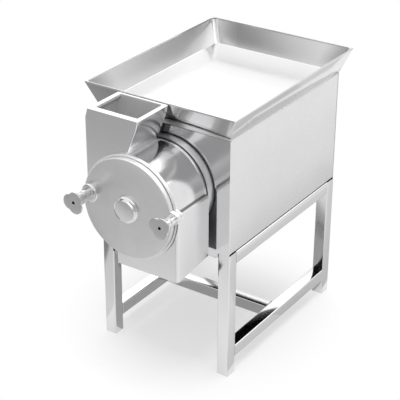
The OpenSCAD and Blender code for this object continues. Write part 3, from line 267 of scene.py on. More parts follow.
def faces_of(piece: bpy.types.Object) -> Points:
    """Measures a piece's faces.

    Args:
        piece: the piece.

    Returns:
        Six rows: X, Y and Z of each face's middle, in millimetres, then X, Y and Z of its outward direction.
    """
    polygons = piece.data.polygons
    middles, outward = np.empty(len(polygons) * 3), np.empty(len(polygons) * 3)
    polygons.foreach_get("center", middles)
    polygons.foreach_get("normal", outward)
    return np.vstack([(middles.reshape(-1, 3) / MM - (0.0, STAND_Y, 0.0)).T, outward.reshape(-1, 3).T])


def off_axis(x: Points, z: Points, middle: Pair = AXIS) -> Points:
    """Gives the distance from an axis along Y: the root of the squared offsets in X and Z."""
    return np.hypot(x - middle[0], z - middle[1])


def clamp_middle(clamp: Pair) -> Pair:
    """Gives a clamp's place: the shaft axis, plus distance times cosine and sine of the bearing."""
    bearing = math.radians(clamp[1])
    return AXIS[0] + clamp[0] * math.cos(bearing), AXIS[1] + clamp[0] * math.sin(bearing)


def circle_reach(turn: Points, distance: float, bearing: float, radius: float, far: bool = True) -> Points:
    """Gives how far a ray from the middle runs to the edge of a circle that lies off the middle.

    The reach is the distance times the cosine of the turn from the bearing, plus or minus the root of the
    radius squared less the square of the sideways miss; a ray that misses reaches 0, or endlessly for the
    near edge.

    Args:
        turn: the rays' angles in radians.
        distance: how far the circle's middle lies from the middle.
        bearing: the angle in degrees at which it lies.
        radius: the circle's radius.
        far: whether the far edge is asked for, or the near one.

    Returns:
        One reach for each ray.
    """
    off = turn - math.radians(bearing)
    room = radius ** 2 - (distance * np.sin(off)) ** 2
    hit = (room > 0) & (np.cos(off) > 0)
    root = np.sqrt(np.where(hit, room, 0.0))
    return np.where(hit, distance * np.cos(off) + (root if far else -root), 0.0 if far else np.inf)


def outline_reach(turn: Points, outline: Sequence[Pair]) -> Points:
    """Gives how far a ray from the shaft axis runs to an outline of straight edges round it.

    For each edge from a to b the ray's length is cross(a, b - a) over cross(ray, b - a); the shortest
    positive length whose foot lies on its edge counts.

    Args:
        turn: the rays' angles in radians.
        outline: the corners in order.

    Returns:
        One reach for each ray.
    """
    flat, slack = 1e-9, 1e-6
    start = np.array(outline) - AXIS
    edge = np.roll(start, -1, axis=0) - start
    ray = np.stack([np.cos(turn), np.sin(turn)], axis=-1)[:, None]
    cross = ray[..., 0] * edge[:, 1] - ray[..., 1] * edge[:, 0]
    cross = np.where(np.abs(cross) < flat, flat, cross)
    length = (start[:, 0] * edge[:, 1] - start[:, 1] * edge[:, 0]) / cross
    share = (start[:, 0] * ray[..., 1] - start[:, 1] * ray[..., 0]) / cross
    good = (length > 0) & (share > -slack) & (share < 1 + slack)
    return np.where(good, length, np.inf).min(axis=1)


def turns(count: int) -> Points:
    """Gives evenly spread angles round a circle, in radians."""
    return np.linspace(0.0, 2 * math.pi, count, endpoint=False)


def round_y(turn: Points, profile: Sequence[tuple[Reach, float]], middle: Pair = AXIS) -> list[Points]:
    """Turns a profile about an axis along Y: middle plus reach times cosine and sine of the turn.

    Args:
        turn: the rays' angles in radians.
        profile: a reach, one for all rays or one for each, and a Y for every row.
        middle: the axis in X and Z.

    Returns:
        One row of points for each point of the profile.
    """
    return [set_out(middle[0] + reach * np.cos(turn), middle[1] + reach * np.sin(turn), y, Along.Y)
            for reach, y in profile]


def rounded(corner: Pair, before: Pair, after: Pair, radius: float, steps: int = 5) -> list[Pair]:
    """Rounds the right-angled corner of a profile with an arc.

    The arc's points are the middle plus the radius times the cosine towards the one side and the sine towards
    the other, where the middle lies a radius in from both sides.

    Args:
        corner: the corner.
        before: a point on the side that leads to it.
        after: a point on the side that leads away.
        radius: the arc's radius.
        steps: steps along the arc.

    Returns:
        The arc's points in order.
    """
    here = np.array(corner, float)
    back, ahead = (np.array(side, float) - here for side in (before, after))
    back /= np.linalg.norm(back)
    ahead /= np.linalg.norm(ahead)
    turn = np.linspace(0.0, math.pi / 2, steps + 1)[:, None]
    arc = here + radius * (back + ahead) - radius * (np.cos(turn) * ahead + np.sin(turn) * back)
    return [(float(x), float(y)) for x, y in arc]


# Shaders


class Value:
    """A socket that carries numbers; arithmetic on it adds Math nodes."""

    def __init__(self, graph: "Graph", socket: Any) -> None:
        """Wraps a socket of the graph."""
        self.graph = graph
        self.socket = socket

    def _math(self, operation: str, *terms: Any) -> "Value":
        """Adds a Math node with the given terms, which are values or numbers."""
        node = self.graph.node("ShaderNodeMath", dict(enumerate(terms)), operation=operation)
        return Value(self.graph, node.outputs[0])

    def __add__(self, other: Any) -> "Value":
        """Sum."""
        return self._math("ADD", self, other)

    __radd__ = __add__

    def __sub__(self, other: Any) -> "Value":
        """Difference."""
        return self._math("SUBTRACT", self, other)

    def __rsub__(self, other: Any) -> "Value":
        """Difference from a number."""
        return self._math("SUBTRACT", other, self)

    def __mul__(self, other: Any) -> "Value":
        """Product."""
        return self._math("MULTIPLY", self, other)

    __rmul__ = __mul__

    def __truediv__(self, other: Any) -> "Value":
        """Quotient."""
        return self._math("DIVIDE", self, other)

    def __rtruediv__(self, other: Any) -> "Value":
        """Quotient of a number by this value."""
        return self._math("DIVIDE", other, self)

    def __pow__(self, other: Any) -> "Value":
        """Power."""
        return self._math("POWER", self, other)

    def __rpow__(self, other: Any) -> "Value":
        """Power of a number, with this value as the exponent."""
        return self._math("POWER", other, self)

    def bearing(self, across: "Value") -> "Value":
        """Gives the angle in radians whose tangent is this value over the other."""
        return self._math("ARCTAN2", self, across)

    def clamp(self, low: float = 0.0, high: float = 1.0) -> "Value":
        """Keeps the value between two numbers."""
        return self._math("MAXIMUM", self._math("MINIMUM", self, high), low)

    def ramp(self, low: float, high: float) -> "Value":
        """Runs from 0 at the low number to 1 at the high one, and stays there."""
        return ((self - low) / (high - low)).clamp()


class Graph:
    """The emptied node tree of a material or a world, with its output and its Object coordinates."""

    def __init__(self, owner: Any, output: str = "ShaderNodeOutputMaterial") -> None:
        """Empties the tree of a new material or world.

        Args:
            owner: the material or world.
            output: the type of its output node.
        """
        owner.use_nodes = True
        self.tree = owner.node_tree
        self.tree.nodes.clear()
        self.output = self.node(output)
        self.place = self.node("ShaderNodeTexCoord").outputs["Object"]

    def node(self, kind: str, inputs: Optional[Sockets] = None, **settings: Any) -> Any:
        """Adds a node, sets it up and fills its sockets.

        Args:
            kind: the node's type.
            inputs: a number, colour, value or socket for each socket by name or place.
            settings: its properties, or "stops" for a colour ramp's places and tones.

        Returns:
            The node.
        """
        node = self.tree.nodes.new(kind)
        for key, value in settings.items():
            if key == "stops":
                for _ in value[2:]:
                    node.color_ramp.elements.new(1.0)
                for element, (place, tone) in zip(node.color_ramp.elements, value):
                    element.position = place
                    element.color = (tone, tone, tone, 1.0)
            else:
                setattr(node, key, value)
        for key, value in (inputs or {}).items():
            value = getattr(value, "socket", value)
            if isinstance(value, bpy.types.NodeSocket):
                self.tree.links.new(value, node.inputs[key])
            else:
                node.inputs[key].default_value = value
        return node

    def show(self, shader: Any) -> None:
        """Shows a shader node on the surface."""
        self.tree.links.new(shader.outputs[0], self.output.inputs["Surface"])

    def split(self, vector: Any) -> list[Value]:
        """Takes a vector apart into its three coordinates."""
        return [Value(self, part) for part in self.node("ShaderNodeSeparateXYZ", {0: vector}).outputs]

    def noise(self, scale: float, detail: float, rough: float = 0.5, vector: Any = None) -> Value:
        """Gives smooth noise between about 0.3 and 0.7.

        Args:
            scale: how many spots there are to a metre.
            detail: how many finer layers lie over them.
            rough: how strong the finer layers are.
            vector: the coordinates, or None for Object coordinates.

        Returns:
            The noise.
        """
        inputs = {"Vector": vector or self.place, "Scale": scale, "Detail": detail, "Roughness": rough}
        node = self.node("ShaderNodeTexNoise", inputs, noise_dimensions="3D")
        return Value(self, node.outputs[0])

    def blend(self, share: Any, first: Triple, second: Triple) -> Any:
        """Mixes two colours by a share between 0 and 1."""
        node = self.node("ShaderNodeMix", {0: share, 6: (*first, 1.0), 7: (*second, 1.0)}, data_type="RGBA")
        return node.outputs[2]

    def bump(self, height: Value, depth: float, under: Any = None) -> Any:
        """Raises the surface by a height between 0 and 1, times a depth in metres, over an earlier bump."""
        earlier = {} if under is None else {"Normal": under}
        return self.node("ShaderNodeBump", {"Height": height, "Distance": depth, **earlier}).outputs["Normal"]


def shade(colour: Triple, by: float, lift: float = 0.0) -> Triple:
    """Gives a lighter or darker colour: each part times a number, plus a lift, up to 1."""
    return tuple(min(1.0, part * by + lift) for part in colour)


# Finishes


class Grain(Enum):
    """How the grinding marks lie on a steel surface."""

    ALONG_X = "along x"
    ALONG_Y = "along y"
    ALONG_Z = "along z"
    EVEN = "even"


@dataclass(frozen=True)
class Finish:
    """A finish with a name, which makes one material."""

    name: str

    def sockets(self, graph: Graph) -> Sockets:
        """Gives the values of the shader's sockets; each kind of finish has its own."""
        raise NotImplementedError

    def material(self) -> bpy.types.Material:
        """Builds the material.

        Returns:
            The material.
        """
        made = bpy.data.materials.new(self.name)
        graph = Graph(made)
        graph.show(graph.node("ShaderNodeBsdfPrincipled", self.sockets(graph)))
        return made


@dataclass(frozen=True)
class StainlessSteel(Finish):
    """Ground or polished stainless steel.

    The colour and the gloss drift with broad smudges, a fine grain lies in one direction, and the sheet has
    the faint swell of rolled and welded plate.
    """

    colour: Triple
    rough: float
    grain: Grain
    grain_depth: float
    swell: float
    swell_size: float
    smudge: float
    metal: float = 1.0
    fine: float = 900.0
    stretch: float = 60.0

    def sockets(self, graph: Graph) -> Sockets:
        """Gives the steel's smudged colour and gloss, and its grain over its swell.

        Args:
            graph: the material's graph.

        Returns:
            The sockets' values.
        """
        along = list(Grain).index(self.grain)
        scale = [self.fine / self.stretch if axis == along else self.fine for axis in range(3)]
        drawn = graph.node("ShaderNodeMapping", {"Vector": graph.place, "Scale": scale})
        marks = graph.noise(1.0, 3.0, 0.6, drawn.outputs["Vector"])
        wipe = (graph.noise(7.0, 3.0) * 0.6 + graph.noise(26.0, 4.0, 0.6) * 0.4).ramp(0.36, 0.64)
        gloss = self.rough * 0.92 + (1.0 - wipe) * self.rough * 0.16 + (marks - 0.5) * 0.05
        return {"Base Color": graph.blend(wipe * 0.7 + marks.ramp(0.3, 0.7) * 0.3,
                                          shade(self.colour, 1.0 - self.smudge), self.colour),
                "Metallic": self.metal, "Roughness": gloss.clamp(0.03),
                "Normal": graph.bump(marks, self.grain_depth,
                                     graph.bump(graph.noise(self.swell_size, 1.5), self.swell))}


@dataclass(frozen=True)
class TurnedSteel(Finish):
    """Stainless steel turned or spun about an axis along Y, with fine rings of tool marks."""

    colour: Triple = (0.80, 0.80, 0.81)
    rough: float = 0.15
    rings: float = 1400.0
    ring_depth: float = 1.5e-6
    swell: float = 6.0e-5
    middle: Pair = AXIS

    def sockets(self, graph: Graph) -> Sockets:
        """Gives rings on the place in Y and on the distance from the axis, the root of x and z squared.

        The rings break up a little with the turn round the axis, the arc tangent of z over x.

        Args:
            graph: the material's graph.

        Returns:
            The sockets' values.
        """
        centred = graph.node("ShaderNodeMapping", {
            "Vector": graph.place, "Location": (-self.middle[0] * MM, 0.0, -self.middle[1] * MM)})
        x, y, z = graph.split(centred.outputs["Vector"])
        around = graph.node("ShaderNodeCombineXYZ", {
            0: (x * x + z * z) ** 0.5 * self.rings, 1: y * self.rings, 2: z.bearing(x) / (2 * math.pi) * 9.0})
        marks = graph.noise(1.0, 2.0, 0.6, around.outputs[0])
        patches = graph.noise(22.0, 4.0, 0.6).ramp(0.36, 0.64)
        gloss = self.rough * 0.93 + (1.0 - patches) * self.rough * 0.14 + (marks - 0.5) * 0.05
        return {"Base Color": graph.blend(patches * 0.6 + marks.ramp(0.3, 0.7) * 0.4,
                                          shade(self.colour, 0.94), self.colour),
                "Metallic": 1.0, "Roughness": gloss.clamp(0.03),
                "Normal": graph.bump(marks, self.ring_depth, graph.bump(graph.noise(9.0, 1.5), self.swell))}


@dataclass(frozen=True)
class Enamel(Finish):
    """Thick machine paint over castings or plate, with orange peel, dust and worn tops."""

    colour: Triple
    rough: float
    peel: float = 5.0e-5
    cast: float = 1.0e-5

    def sockets(self, graph: Graph) -> Sockets:
        """Gives the paint's dusty colour and its peel over the casting's sand.

        Args:
            graph: the material's graph.

        Returns:
            The sockets' values.
        """
        sand = graph.noise(140.0, 4.0, 0.7)
        drift = graph.noise(11.0, 4.0, 0.6).ramp(0.35, 0.65)
        return {"Base Color": graph.blend(drift * 0.65 + sand.ramp(0.3, 0.7) * 0.35,
                                          shade(self.colour, 0.82), shade(self.colour, 1.25, 0.015)),
                "Roughness": (self.rough + (drift - 0.5) * 0.14 + (sand - 0.5) * 0.1).clamp(0.1),
                "Normal": graph.bump(graph.noise(420.0, 2.0), self.peel, graph.bump(sand, self.cast))}


@dataclass(frozen=True)
class MouldedRubber(Finish):
    """Black rubber with bloom and a fine moulded skin."""

    colour: Triple = (0.028, 0.028, 0.03)
    rough: float = 0.62

    def sockets(self, graph: Graph) -> Sockets:
        """Gives the rubber's bloom and skin.

        Args:
            graph: the material's graph.

        Returns:
            The sockets' values.
        """
        bloom = graph.noise(60.0, 4.0, 0.65).ramp(0.4, 0.7)
        skin = graph.noise(1100.0, 2.0)
        return {"Base Color": graph.blend(bloom, self.colour, shade(self.colour, 1.7, 0.01)),
                "Roughness": (self.rough + (bloom - 0.5) * 0.16 + (skin - 0.5) * 0.08).clamp(0.2),
                "Normal": graph.bump(skin, 3.0e-5)}


@dataclass(frozen=True)
class MouldedPlastic(Finish):
    """Spark-eroded plastic with a soft sheen and rubbed high spots."""

    colour: Triple
    rough: float

    def sockets(self, graph: Graph) -> Sockets:
        """Gives the plastic's texture and its rubbed spots.

        Args:
            graph: the material's graph.

        Returns:
            The sockets' values.
        """
        texture = graph.noise(1600.0, 3.0)
        rubbed = graph.noise(45.0, 4.0, 0.6).ramp(0.42, 0.68)
        return {"Base Color": graph.blend(rubbed, self.colour, shade(self.colour, 1.2, 0.012)),
                "Roughness": (self.rough + (texture - 0.5) * 0.2 - rubbed * 0.08).clamp(0.15),
                "Normal": graph.bump(texture, 2.5e-5)}


@dataclass(frozen=True)
class BearingBronze(Finish):
    """Sintered bronze with dark oily pores."""

    colour: Triple = (0.62, 0.40, 0.17)
    oily: Triple = (0.30, 0.18, 0.07)

    def sockets(self, graph: Graph) -> Sockets:
        """Gives the bronze's pores and tarnish.

        Args:
            graph: the material's graph.

        Returns:
            The sockets' values.
        """
        pores = graph.noise(2200.0, 3.0).ramp(0.42, 0.6)
        tarnish = graph.noise(90.0, 4.0, 0.6).ramp(0.35, 0.65)
        return {"Base Color": graph.blend(pores * 0.6 + tarnish * 0.4, self.oily, self.colour),
                "Metallic": 1.0,
                "Roughness": (0.34 + (1.0 - tarnish) * 0.12 + (1.0 - pores) * 0.1).clamp(0.1),
                "Normal": graph.bump(pores, 1.5e-5)}


class Finishes:
    """Every finish of the machine, each made once and kept by its name."""

    SHEET: Triple = (0.78, 0.78, 0.785)
    ALL: tuple[Finish, ...] = (
        StainlessSteel("mirror_panel", (0.78, 0.78, 0.79), 0.12, Grain.ALONG_X, 1e-6, 2.5e-4, 3.2, 0.03,
                       fine=700.0),
        StainlessSteel("satin_side", SHEET, 0.27, Grain.ALONG_Y, 4e-7, 1e-4, 3.0, 0.02),
        StainlessSteel("cover_sheet", SHEET, 0.30, Grain.ALONG_X, 4e-6, 2e-4, 3.5, 0.04),
        StainlessSteel("tray_sheet", (0.72, 0.72, 0.722), 0.17, Grain.ALONG_Y, 1e-6, 8e-5, 4.0, 0.02),
        StainlessSteel("tray_outside", (0.74, 0.74, 0.742), 0.09, Grain.ALONG_Y, 6e-7, 1e-4, 5.0, 0.03),
        StainlessSteel("hopper_sheet", (0.80, 0.80, 0.805), 0.18, Grain.ALONG_Z, 2e-6, 1.2e-4, 6.0, 0.03),
        StainlessSteel("hopper_inside", SHEET, 0.42, Grain.ALONG_Z, 6e-6, 1.2e-4, 6.0, 0.06, 0.45),
        # painted shade: a dark steel for the hopper's and the outlet's backs, in the shaded gap before the
        # panel
        StainlessSteel("gap_shade_steel", (0.34, 0.34, 0.345), 0.45, Grain.ALONG_Z, 8e-6, 1e-4, 6.0, 0.10, 0.5),
        # a bright bead steel, also a painted highlight on the upper halves of the flange and of the door's
        # rim
        StainlessSteel("bead_and_highlight", (0.96, 0.96, 0.96), 0.32, Grain.EVEN, 4e-6, 2e-5, 9.0, 0.05, 0.7),
        # painted shade: a dark steel for the shoulder's crease at the drum and for the flange's lower sides
        StainlessSteel("painted_shade_seam", (0.24, 0.235, 0.23), 0.30, Grain.ALONG_Y, 4e-6, 4e-5, 9.0, 0.12, 0.8),
        StainlessSteel("outlet_sheet", (0.82, 0.82, 0.825), 0.24, Grain.ALONG_Z, 2e-6, 1e-4, 6.0, 0.02),
        StainlessSteel("upright_tube", SHEET, 0.14, Grain.ALONG_Z, 1e-6, 2e-5, 6.0, 0.03, fine=1100.0),
        StainlessSteel("rail_tube", SHEET, 0.09, Grain.ALONG_Y, 6e-7, 1.5e-5, 6.0, 0.03, fine=1100.0),
        # painted shade: a darker copy of the tube steel for the cross rails
        StainlessSteel("cross_tube", (0.70, 0.70, 0.705), 0.14, Grain.ALONG_X, 1e-6, 2e-5, 6.0, 0.04,
                       fine=1100.0),
        # painted shade: a near-black sheet for the belly pan, which lies in shade under the cabinet
        StainlessSteel("pan_shade_black", (0.030, 0.030, 0.032), 0.40, Grain.ALONG_Y, 8e-6, 3e-4, 4.0, 0.2, 0.2),
        StainlessSteel("ground_steel", (0.62, 0.62, 0.63), 0.30, Grain.EVEN, 5e-6, 4e-5, 14.0, 0.08,
                       fine=1300.0),
        StainlessSteel("bolt_steel", (0.56, 0.56, 0.575), 0.34, Grain.EVEN, 8e-6, 2e-5, 20.0, 0.10,
                       fine=1600.0),
        TurnedSteel("spun_drum"),
        TurnedSteel("turned_door", (0.75, 0.75, 0.755), 0.36, ring_depth=4e-7, swell=5e-5),
        TurnedSteel("turned_shaft", (0.60, 0.60, 0.61), 0.24, 1800.0, 5e-6, 2e-5),
        Enamel("grey_enamel", (0.20, 0.225, 0.25), 0.40),
        Enamel("cast_enamel", (0.075, 0.08, 0.088), 0.50, cast=2e-4),
        MouldedRubber("black_rubber"),
        MouldedPlastic("black_plastic", (0.035, 0.035, 0.037), 0.42),
        MouldedPlastic("switch_grey", (0.16, 0.165, 0.17), 0.45),
        MouldedPlastic("switch_red", (0.50, 0.030, 0.025), 0.35),
        BearingBronze("bush_bronze"),
    )

    def __init__(self) -> None:
        """Builds every material."""
        self._made = {finish.name: finish.material() for finish in self.ALL}

    def add(self, finish: Finish) -> None:
        """Builds one more finish, for a piece that needs its own axis."""
        self._made[finish.name] = finish.material()

    def made(self, name: str) -> bpy.types.Material:
        """Gives the material of a finish."""
        return self._made[name]

    def dress(self, piece: bpy.types.Object, name: str) -> None:
        """Gives a piece or a carried-over node one finish in all its slots.

        Args:
            piece: the piece or node.
            name: the finish's name.
        """
        if not piece.material_slots:
            piece.data.materials.append(self._made[name])
        for slot in piece.material_slots:
            slot.material = self._made[name]


@dataclass
class Assembly:
    """A sub-assembly that makes its pieces and dresses them."""

    finishes: Finishes

    def settle(self, piece: bpy.types.Object, finish: str, *nodes: str, body: str = "machine",
               slot: str = "polished") -> bpy.types.Object:
        """Dresses a finished piece and ties it to the model.

        Args:
            piece: the new piece.
            finish: the name of its finish.
            nodes: the nodes that it stands for.
            body: the body that it moves with.
            slot: a material slot's name; not used.

        Returns:
            The piece.
        """
        self.finishes.dress(piece, finish)
        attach(piece, body)
        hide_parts(*nodes)
        log.info("%s: %d faces, %s", piece.name, len(piece.data.polygons), finish)
        return piece

    def part_finish(self, piece: bpy.types.Object, finish: str, chosen: Points) -> None:
        """Gives some faces of a dressed piece one more finish, and leaves the others as they are.

        Args:
            piece: the piece.
            finish: the name of the further finish.
            chosen: one flag for each face.
        """
        piece.data.materials.append(self.finishes.made(finish))
        index = np.empty(len(piece.data.polygons), np.int32)
        piece.data.polygons.foreach_get("material_index", index)
        index[chosen] = len(piece.data.materials) - 1
        piece.data.polygons.foreach_set("material_index", index)

    def keep(self, finish: str, *nodes: str) -> None:
        """Gives nodes that keep their own shape a finish.

        Args:
            finish: the finish's name.
            nodes: the nodes.
        """
        for name in nodes:
            self.finishes.dress(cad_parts[name], finish)
            log.info("%s keeps its shape, %s", name, finish)


# Stand and cabinet


@dataclass
class Stand(Assembly):
    """Four legs and the rails between them, all of one square tube."""

    half_w: float = 230.0
    half_d: float = 310.0
    height: float = 415.0
    tube: float = 40.0
    wall: float = 2.0
    corner: float = 4.0
    ease: float = 0.5
    low_z: float = 52.0
    cross_y: float = -8.0

    def tube_run(self, name: str, along: Along, middle: Pair, start: float, end: float) -> bpy.types.Object:
        """Carries the tube's wall round its rounded square.

        The wall is a profile of inset and station; each of its points is a loop whose half side is half the
        tube less the inset, and whose corner radius is the corner less the inset.

        Args:
            name: the piece's name.
            along: the axis that the tube runs along.
            middle: the tube's middle across that axis.
            start: its first station.
            end: its last station.

        Returns:
            The tube.
        """
        loop = Loop.plan(side_u=2, side_v=2, arc=6)
        wall, e = self.wall, self.ease
        profile = ((0.0, start + e), (0.0, (start + end) / 2), (0.0, end - e), (e, end), (wall - e, end),
                   (wall, end - e), (wall, start + e), (wall - e, start), (e, start))
        rows = []
        for inset, station in profile:
            half = self.tube / 2 - inset
            section = loop.at(np.subtract(middle, half), np.add(middle, half), self.corner - inset)
            rows.append(set_out(*section.T, station, along))
        return Shell().rows(rows, closed=True).build(name, 24.0)

    def build(self) -> None:
        """Makes the legs and rails."""
        reach, span = self.half_d - self.tube, self.half_w - self.tube
        deep, wide = reach + self.tube / 2, span + self.tube / 2
        low, high = self.low_z + self.tube / 2, self.height - self.tube / 2
        sides = (("left", -wide), ("right", wide))
        runs = [(f"leg_{end}_{side}", "upright_tube", Along.Z, (x, y), 0.0, self.height)
                for end, y in (("front", -deep), ("rear", deep)) for side, x in sides]
        runs += [(f"{level}_rail_{side}", "rail_tube", Along.Y, (x, z), -reach, reach)
                 for level, z in (("lower", low), ("upper", high)) for side, x in sides]
        # The cross rails take the darker tube steel as painted shade.
        runs += [("lower_cross_rail", "cross_tube", Along.X, (self.cross_y, low), -span, span),
                 ("upper_rail_rear", "cross_tube", Along.X, (deep, high), -span, span)]
        for node, finish, *run in runs:
            self.settle(self.tube_run(f"{node}_tube", *run), finish, node, slot="tube")
        self.keep("ground_steel", "leg_end_plates")
        # Painted shade: the belly pan is near black.
        self.keep("pan_shade_black", "belly_pan")


@dataclass
class Cabinet(Assembly):
    """The box of folded sheet over the stand, with its rear cover, gland and switch."""

    half_w: float = 227.0
    front_t: float = 4.0
    front_ease: float = 1.2
    back_y: float = 308.0
    low_z: float = 415.0
    top_z: float = 778.0
    tongue: Pair = (189.5, 401.0)
    hole_r: float = 23.0
    fold: float = 20.0
    fold_r: float = 4.0
    sheet: float = 2.0
    seam: float = 2.0
    flat_from: float = 120.0

    def front_panel(self) -> bpy.types.Object:
        """Makes the front panel as rays from the shaft hole to its outline, front and back.

        Each column is a ray; its reach runs to the outline or to the hole.

        Returns:
            The piece.
        """
        right = [(self.tongue[0], self.tongue[1]), (self.tongue[0], self.low_z), (self.half_w, self.low_z),
                 (self.half_w, self.top_z)]
        outline = [(-x, z) for x, z in reversed(right)] + right
        corners = np.array(outline) - AXIS
        turn = np.sort(np.concatenate([turns(96), np.arctan2(corners[:, 1], corners[:, 0]) % (2 * math.pi)]))
        reach = outline_reach(turn, outline)
        front, back = FRONT_Y, FRONT_Y + self.front_t
        rows = round_y(turn, ((reach, back), (reach, front), (self.hole_r, front), (self.hole_r, back)))
        return Shell().rows(rows, closed=True).build("front_sheet", 32.0, self.front_ease)

    def side_panel(self, name: str, side: int) -> bpy.types.Object:
        """Makes a side panel as a folded pan, with its outer and inner face as two like grids.

        A column is a place along the folded section and a row a height; a point's X is the smaller of what
        its column and its row allow, so all four edges turn in by the same fold.

        Args:
            name: the panel's name.
            side: 1 for the right one, -1 for the left.

        Returns:
            The panel.
        """
        end_x = self.half_w - self.fold

        def section(low: float, high: float, inset: float, between: Sequence[float]) -> Points:
            """Gives a fold, a bend, the flat, a bend and a fold.

            Args:
                low: the place of the first fold.
                high: the place of the last fold.
                inset: how far all of it is drawn in.
                between: places on the flat.

            Returns:
                X and the place along the section for each point.
            """
            low, high, x, radius = low + inset, high - inset, self.half_w - inset, self.fold_r - inset
            return np.array([(end_x, low), *rounded((x, low), (0.0, low), (x, high), radius),
                             *((x, place) for place in between),
                             *rounded((x, high), (x, low), (0.0, high), radius), (end_x, high)])

        faces = []
        for inset in (0.0, self.sheet):
            columns = section(FRONT_Y + self.front_t, self.back_y, inset,
                              (-self.back_y / 2, 0.0, self.back_y / 2))
            levels = section(self.low_z + self.seam, self.top_z, inset,
                             (self.low_z + self.flat_from, self.top_z - self.flat_from))[:, None]
            x = np.minimum(columns[:, 0], levels[..., 0])
            faces.append(set_out(x * side, columns[:, 1], levels[..., 1], Along.Z))
        keep = np.ones(np.subtract(faces[0].shape[:2], 1), bool)
        return Shell().walled(*faces, keep, wrap=False).build(name, 24.0)

    def build(self) -> None:
        """Makes the panels and dresses what the cabinet carries."""
        self.settle(self.front_panel(), "mirror_panel", "front_panel")
        for name, side in (("right", 1), ("left", -1)):
            self.settle(self.side_panel(f"side_sheet_{name}", side), "satin_side", f"side_panel_{name}")
        for finish, node in (("cover_sheet", "rear_cover"), ("bolt_steel", "rear_cover_screws"),
                             ("black_plastic", "cable_gland"), ("switch_grey", "switch_box"),
                             ("switch_red", "switch_handle")):
            self.keep(finish, node)


@dataclass
class LoadingTray(Assembly):
    """The flared loading tray, folded and welded from one sheet with a hemmed rim."""

    foot: Pair = (227.0, 310.0)
    rim: Pair = (257.0, 337.0)
    low_z: float = 778.0
    rim_z: float = 856.0
    sheet: float = 2.0
    hem: float = 3.0
    hem_h: float = 4.5
    bend: float = 3.0
    fillet: float = 2.5
    corner: float = 2.0
    weld: float = 16.0
    wall_turn: float = 71.0

    def wall_at(self, z: float, inset: float) -> Points:
        """Gives the half width and half depth of the flared wall at a height, drawn in by an inset.

        The wall runs out in a straight line up to the hem, and stands upright there.
        """
        share = min(1.0, (z - self.low_z) / (self.rim_z - self.hem_h - self.low_z))
        return np.array(self.foot) + share * np.subtract(self.rim, self.foot) - inset

    def build(self) -> None:
        """Makes the tray as loops, from the middle of its underside up the outside, over the rim and back in.

        Each loop is a rectangle with rounded corners; the bend at the foot follows a quarter circle, and the
        floor's loops shrink towards the middle. The welds round the inside corners more than the outside.
        """
        loop = Loop.plan(side_u=6, side_v=6, arc=6)
        corner, weld, sheet, hem, rim_z = self.corner, self.weld, self.sheet, self.hem, self.rim_z
        hem_z, floor_z, lean = rim_z - self.hem_h, self.low_z + sheet, 0.8

        def flat(z: float, radius: float, shares: Sequence[float]) -> list[Points]:
            """Loops that shrink towards the middle of a flat face."""
            halves = [share * np.array(self.foot) for share in shares]
            return [loop.level(-half, half, share * radius, z) for half, share in zip(halves, shares)]

        def bent(z: float, inset: float, bend: float, radius: float, angles: Points) -> list[Triple]:
            """Heights, insets and corners along the bend from a flat face into the wall."""
            return [(z + bend * (1 - math.cos(angle)), inset + bend * (1 - math.sin(angle)) * lean, radius)
                    for angle in np.radians(angles)]

        up_the_wall = bent(self.low_z, 0.0, self.bend, corner, np.linspace(0.0, self.wall_turn, 5))
        over_the_rim = [(hem_z - 0.4, 0.5, corner), (hem_z, 0.0, corner), (rim_z - 0.7, 0.0, corner),
                        (rim_z, 0.4, corner), (rim_z, hem - 0.4, weld), (rim_z - 0.6, hem, weld),
                        (hem_z, hem, weld), (hem_z - 0.8, sheet + 0.3, weld)]
        down_inside = bent(floor_z, sheet, self.fillet, weld, np.linspace(self.wall_turn, 0.0, 8))
        rows = flat(self.low_z, corner, (0.001, 0.25, 0.5, 0.75, 0.97))
        for z, inset, radius in up_the_wall + over_the_rim + down_inside:
            half = self.wall_at(z, inset)
            rows.append(loop.level(-half, half, radius, z))
        rows += flat(floor_z, weld, (0.9, 0.6, 0.3, 0.001))
        shell = Shell().rows(rows).lid(rows[0]).lid(rows[-1])
        piece = self.settle(shell.build("tray_pan", 24.0), "tray_sheet", "tray", slot="tray")
        x, y, _, out_x, out_y, out_z = faces_of(piece)
        beside = np.maximum(out_x * np.sign(x), out_y * np.sign(y))
        self.part_finish(piece, "tray_outside", (beside > 0.5) | (out_z < -0.9))


# Chamber


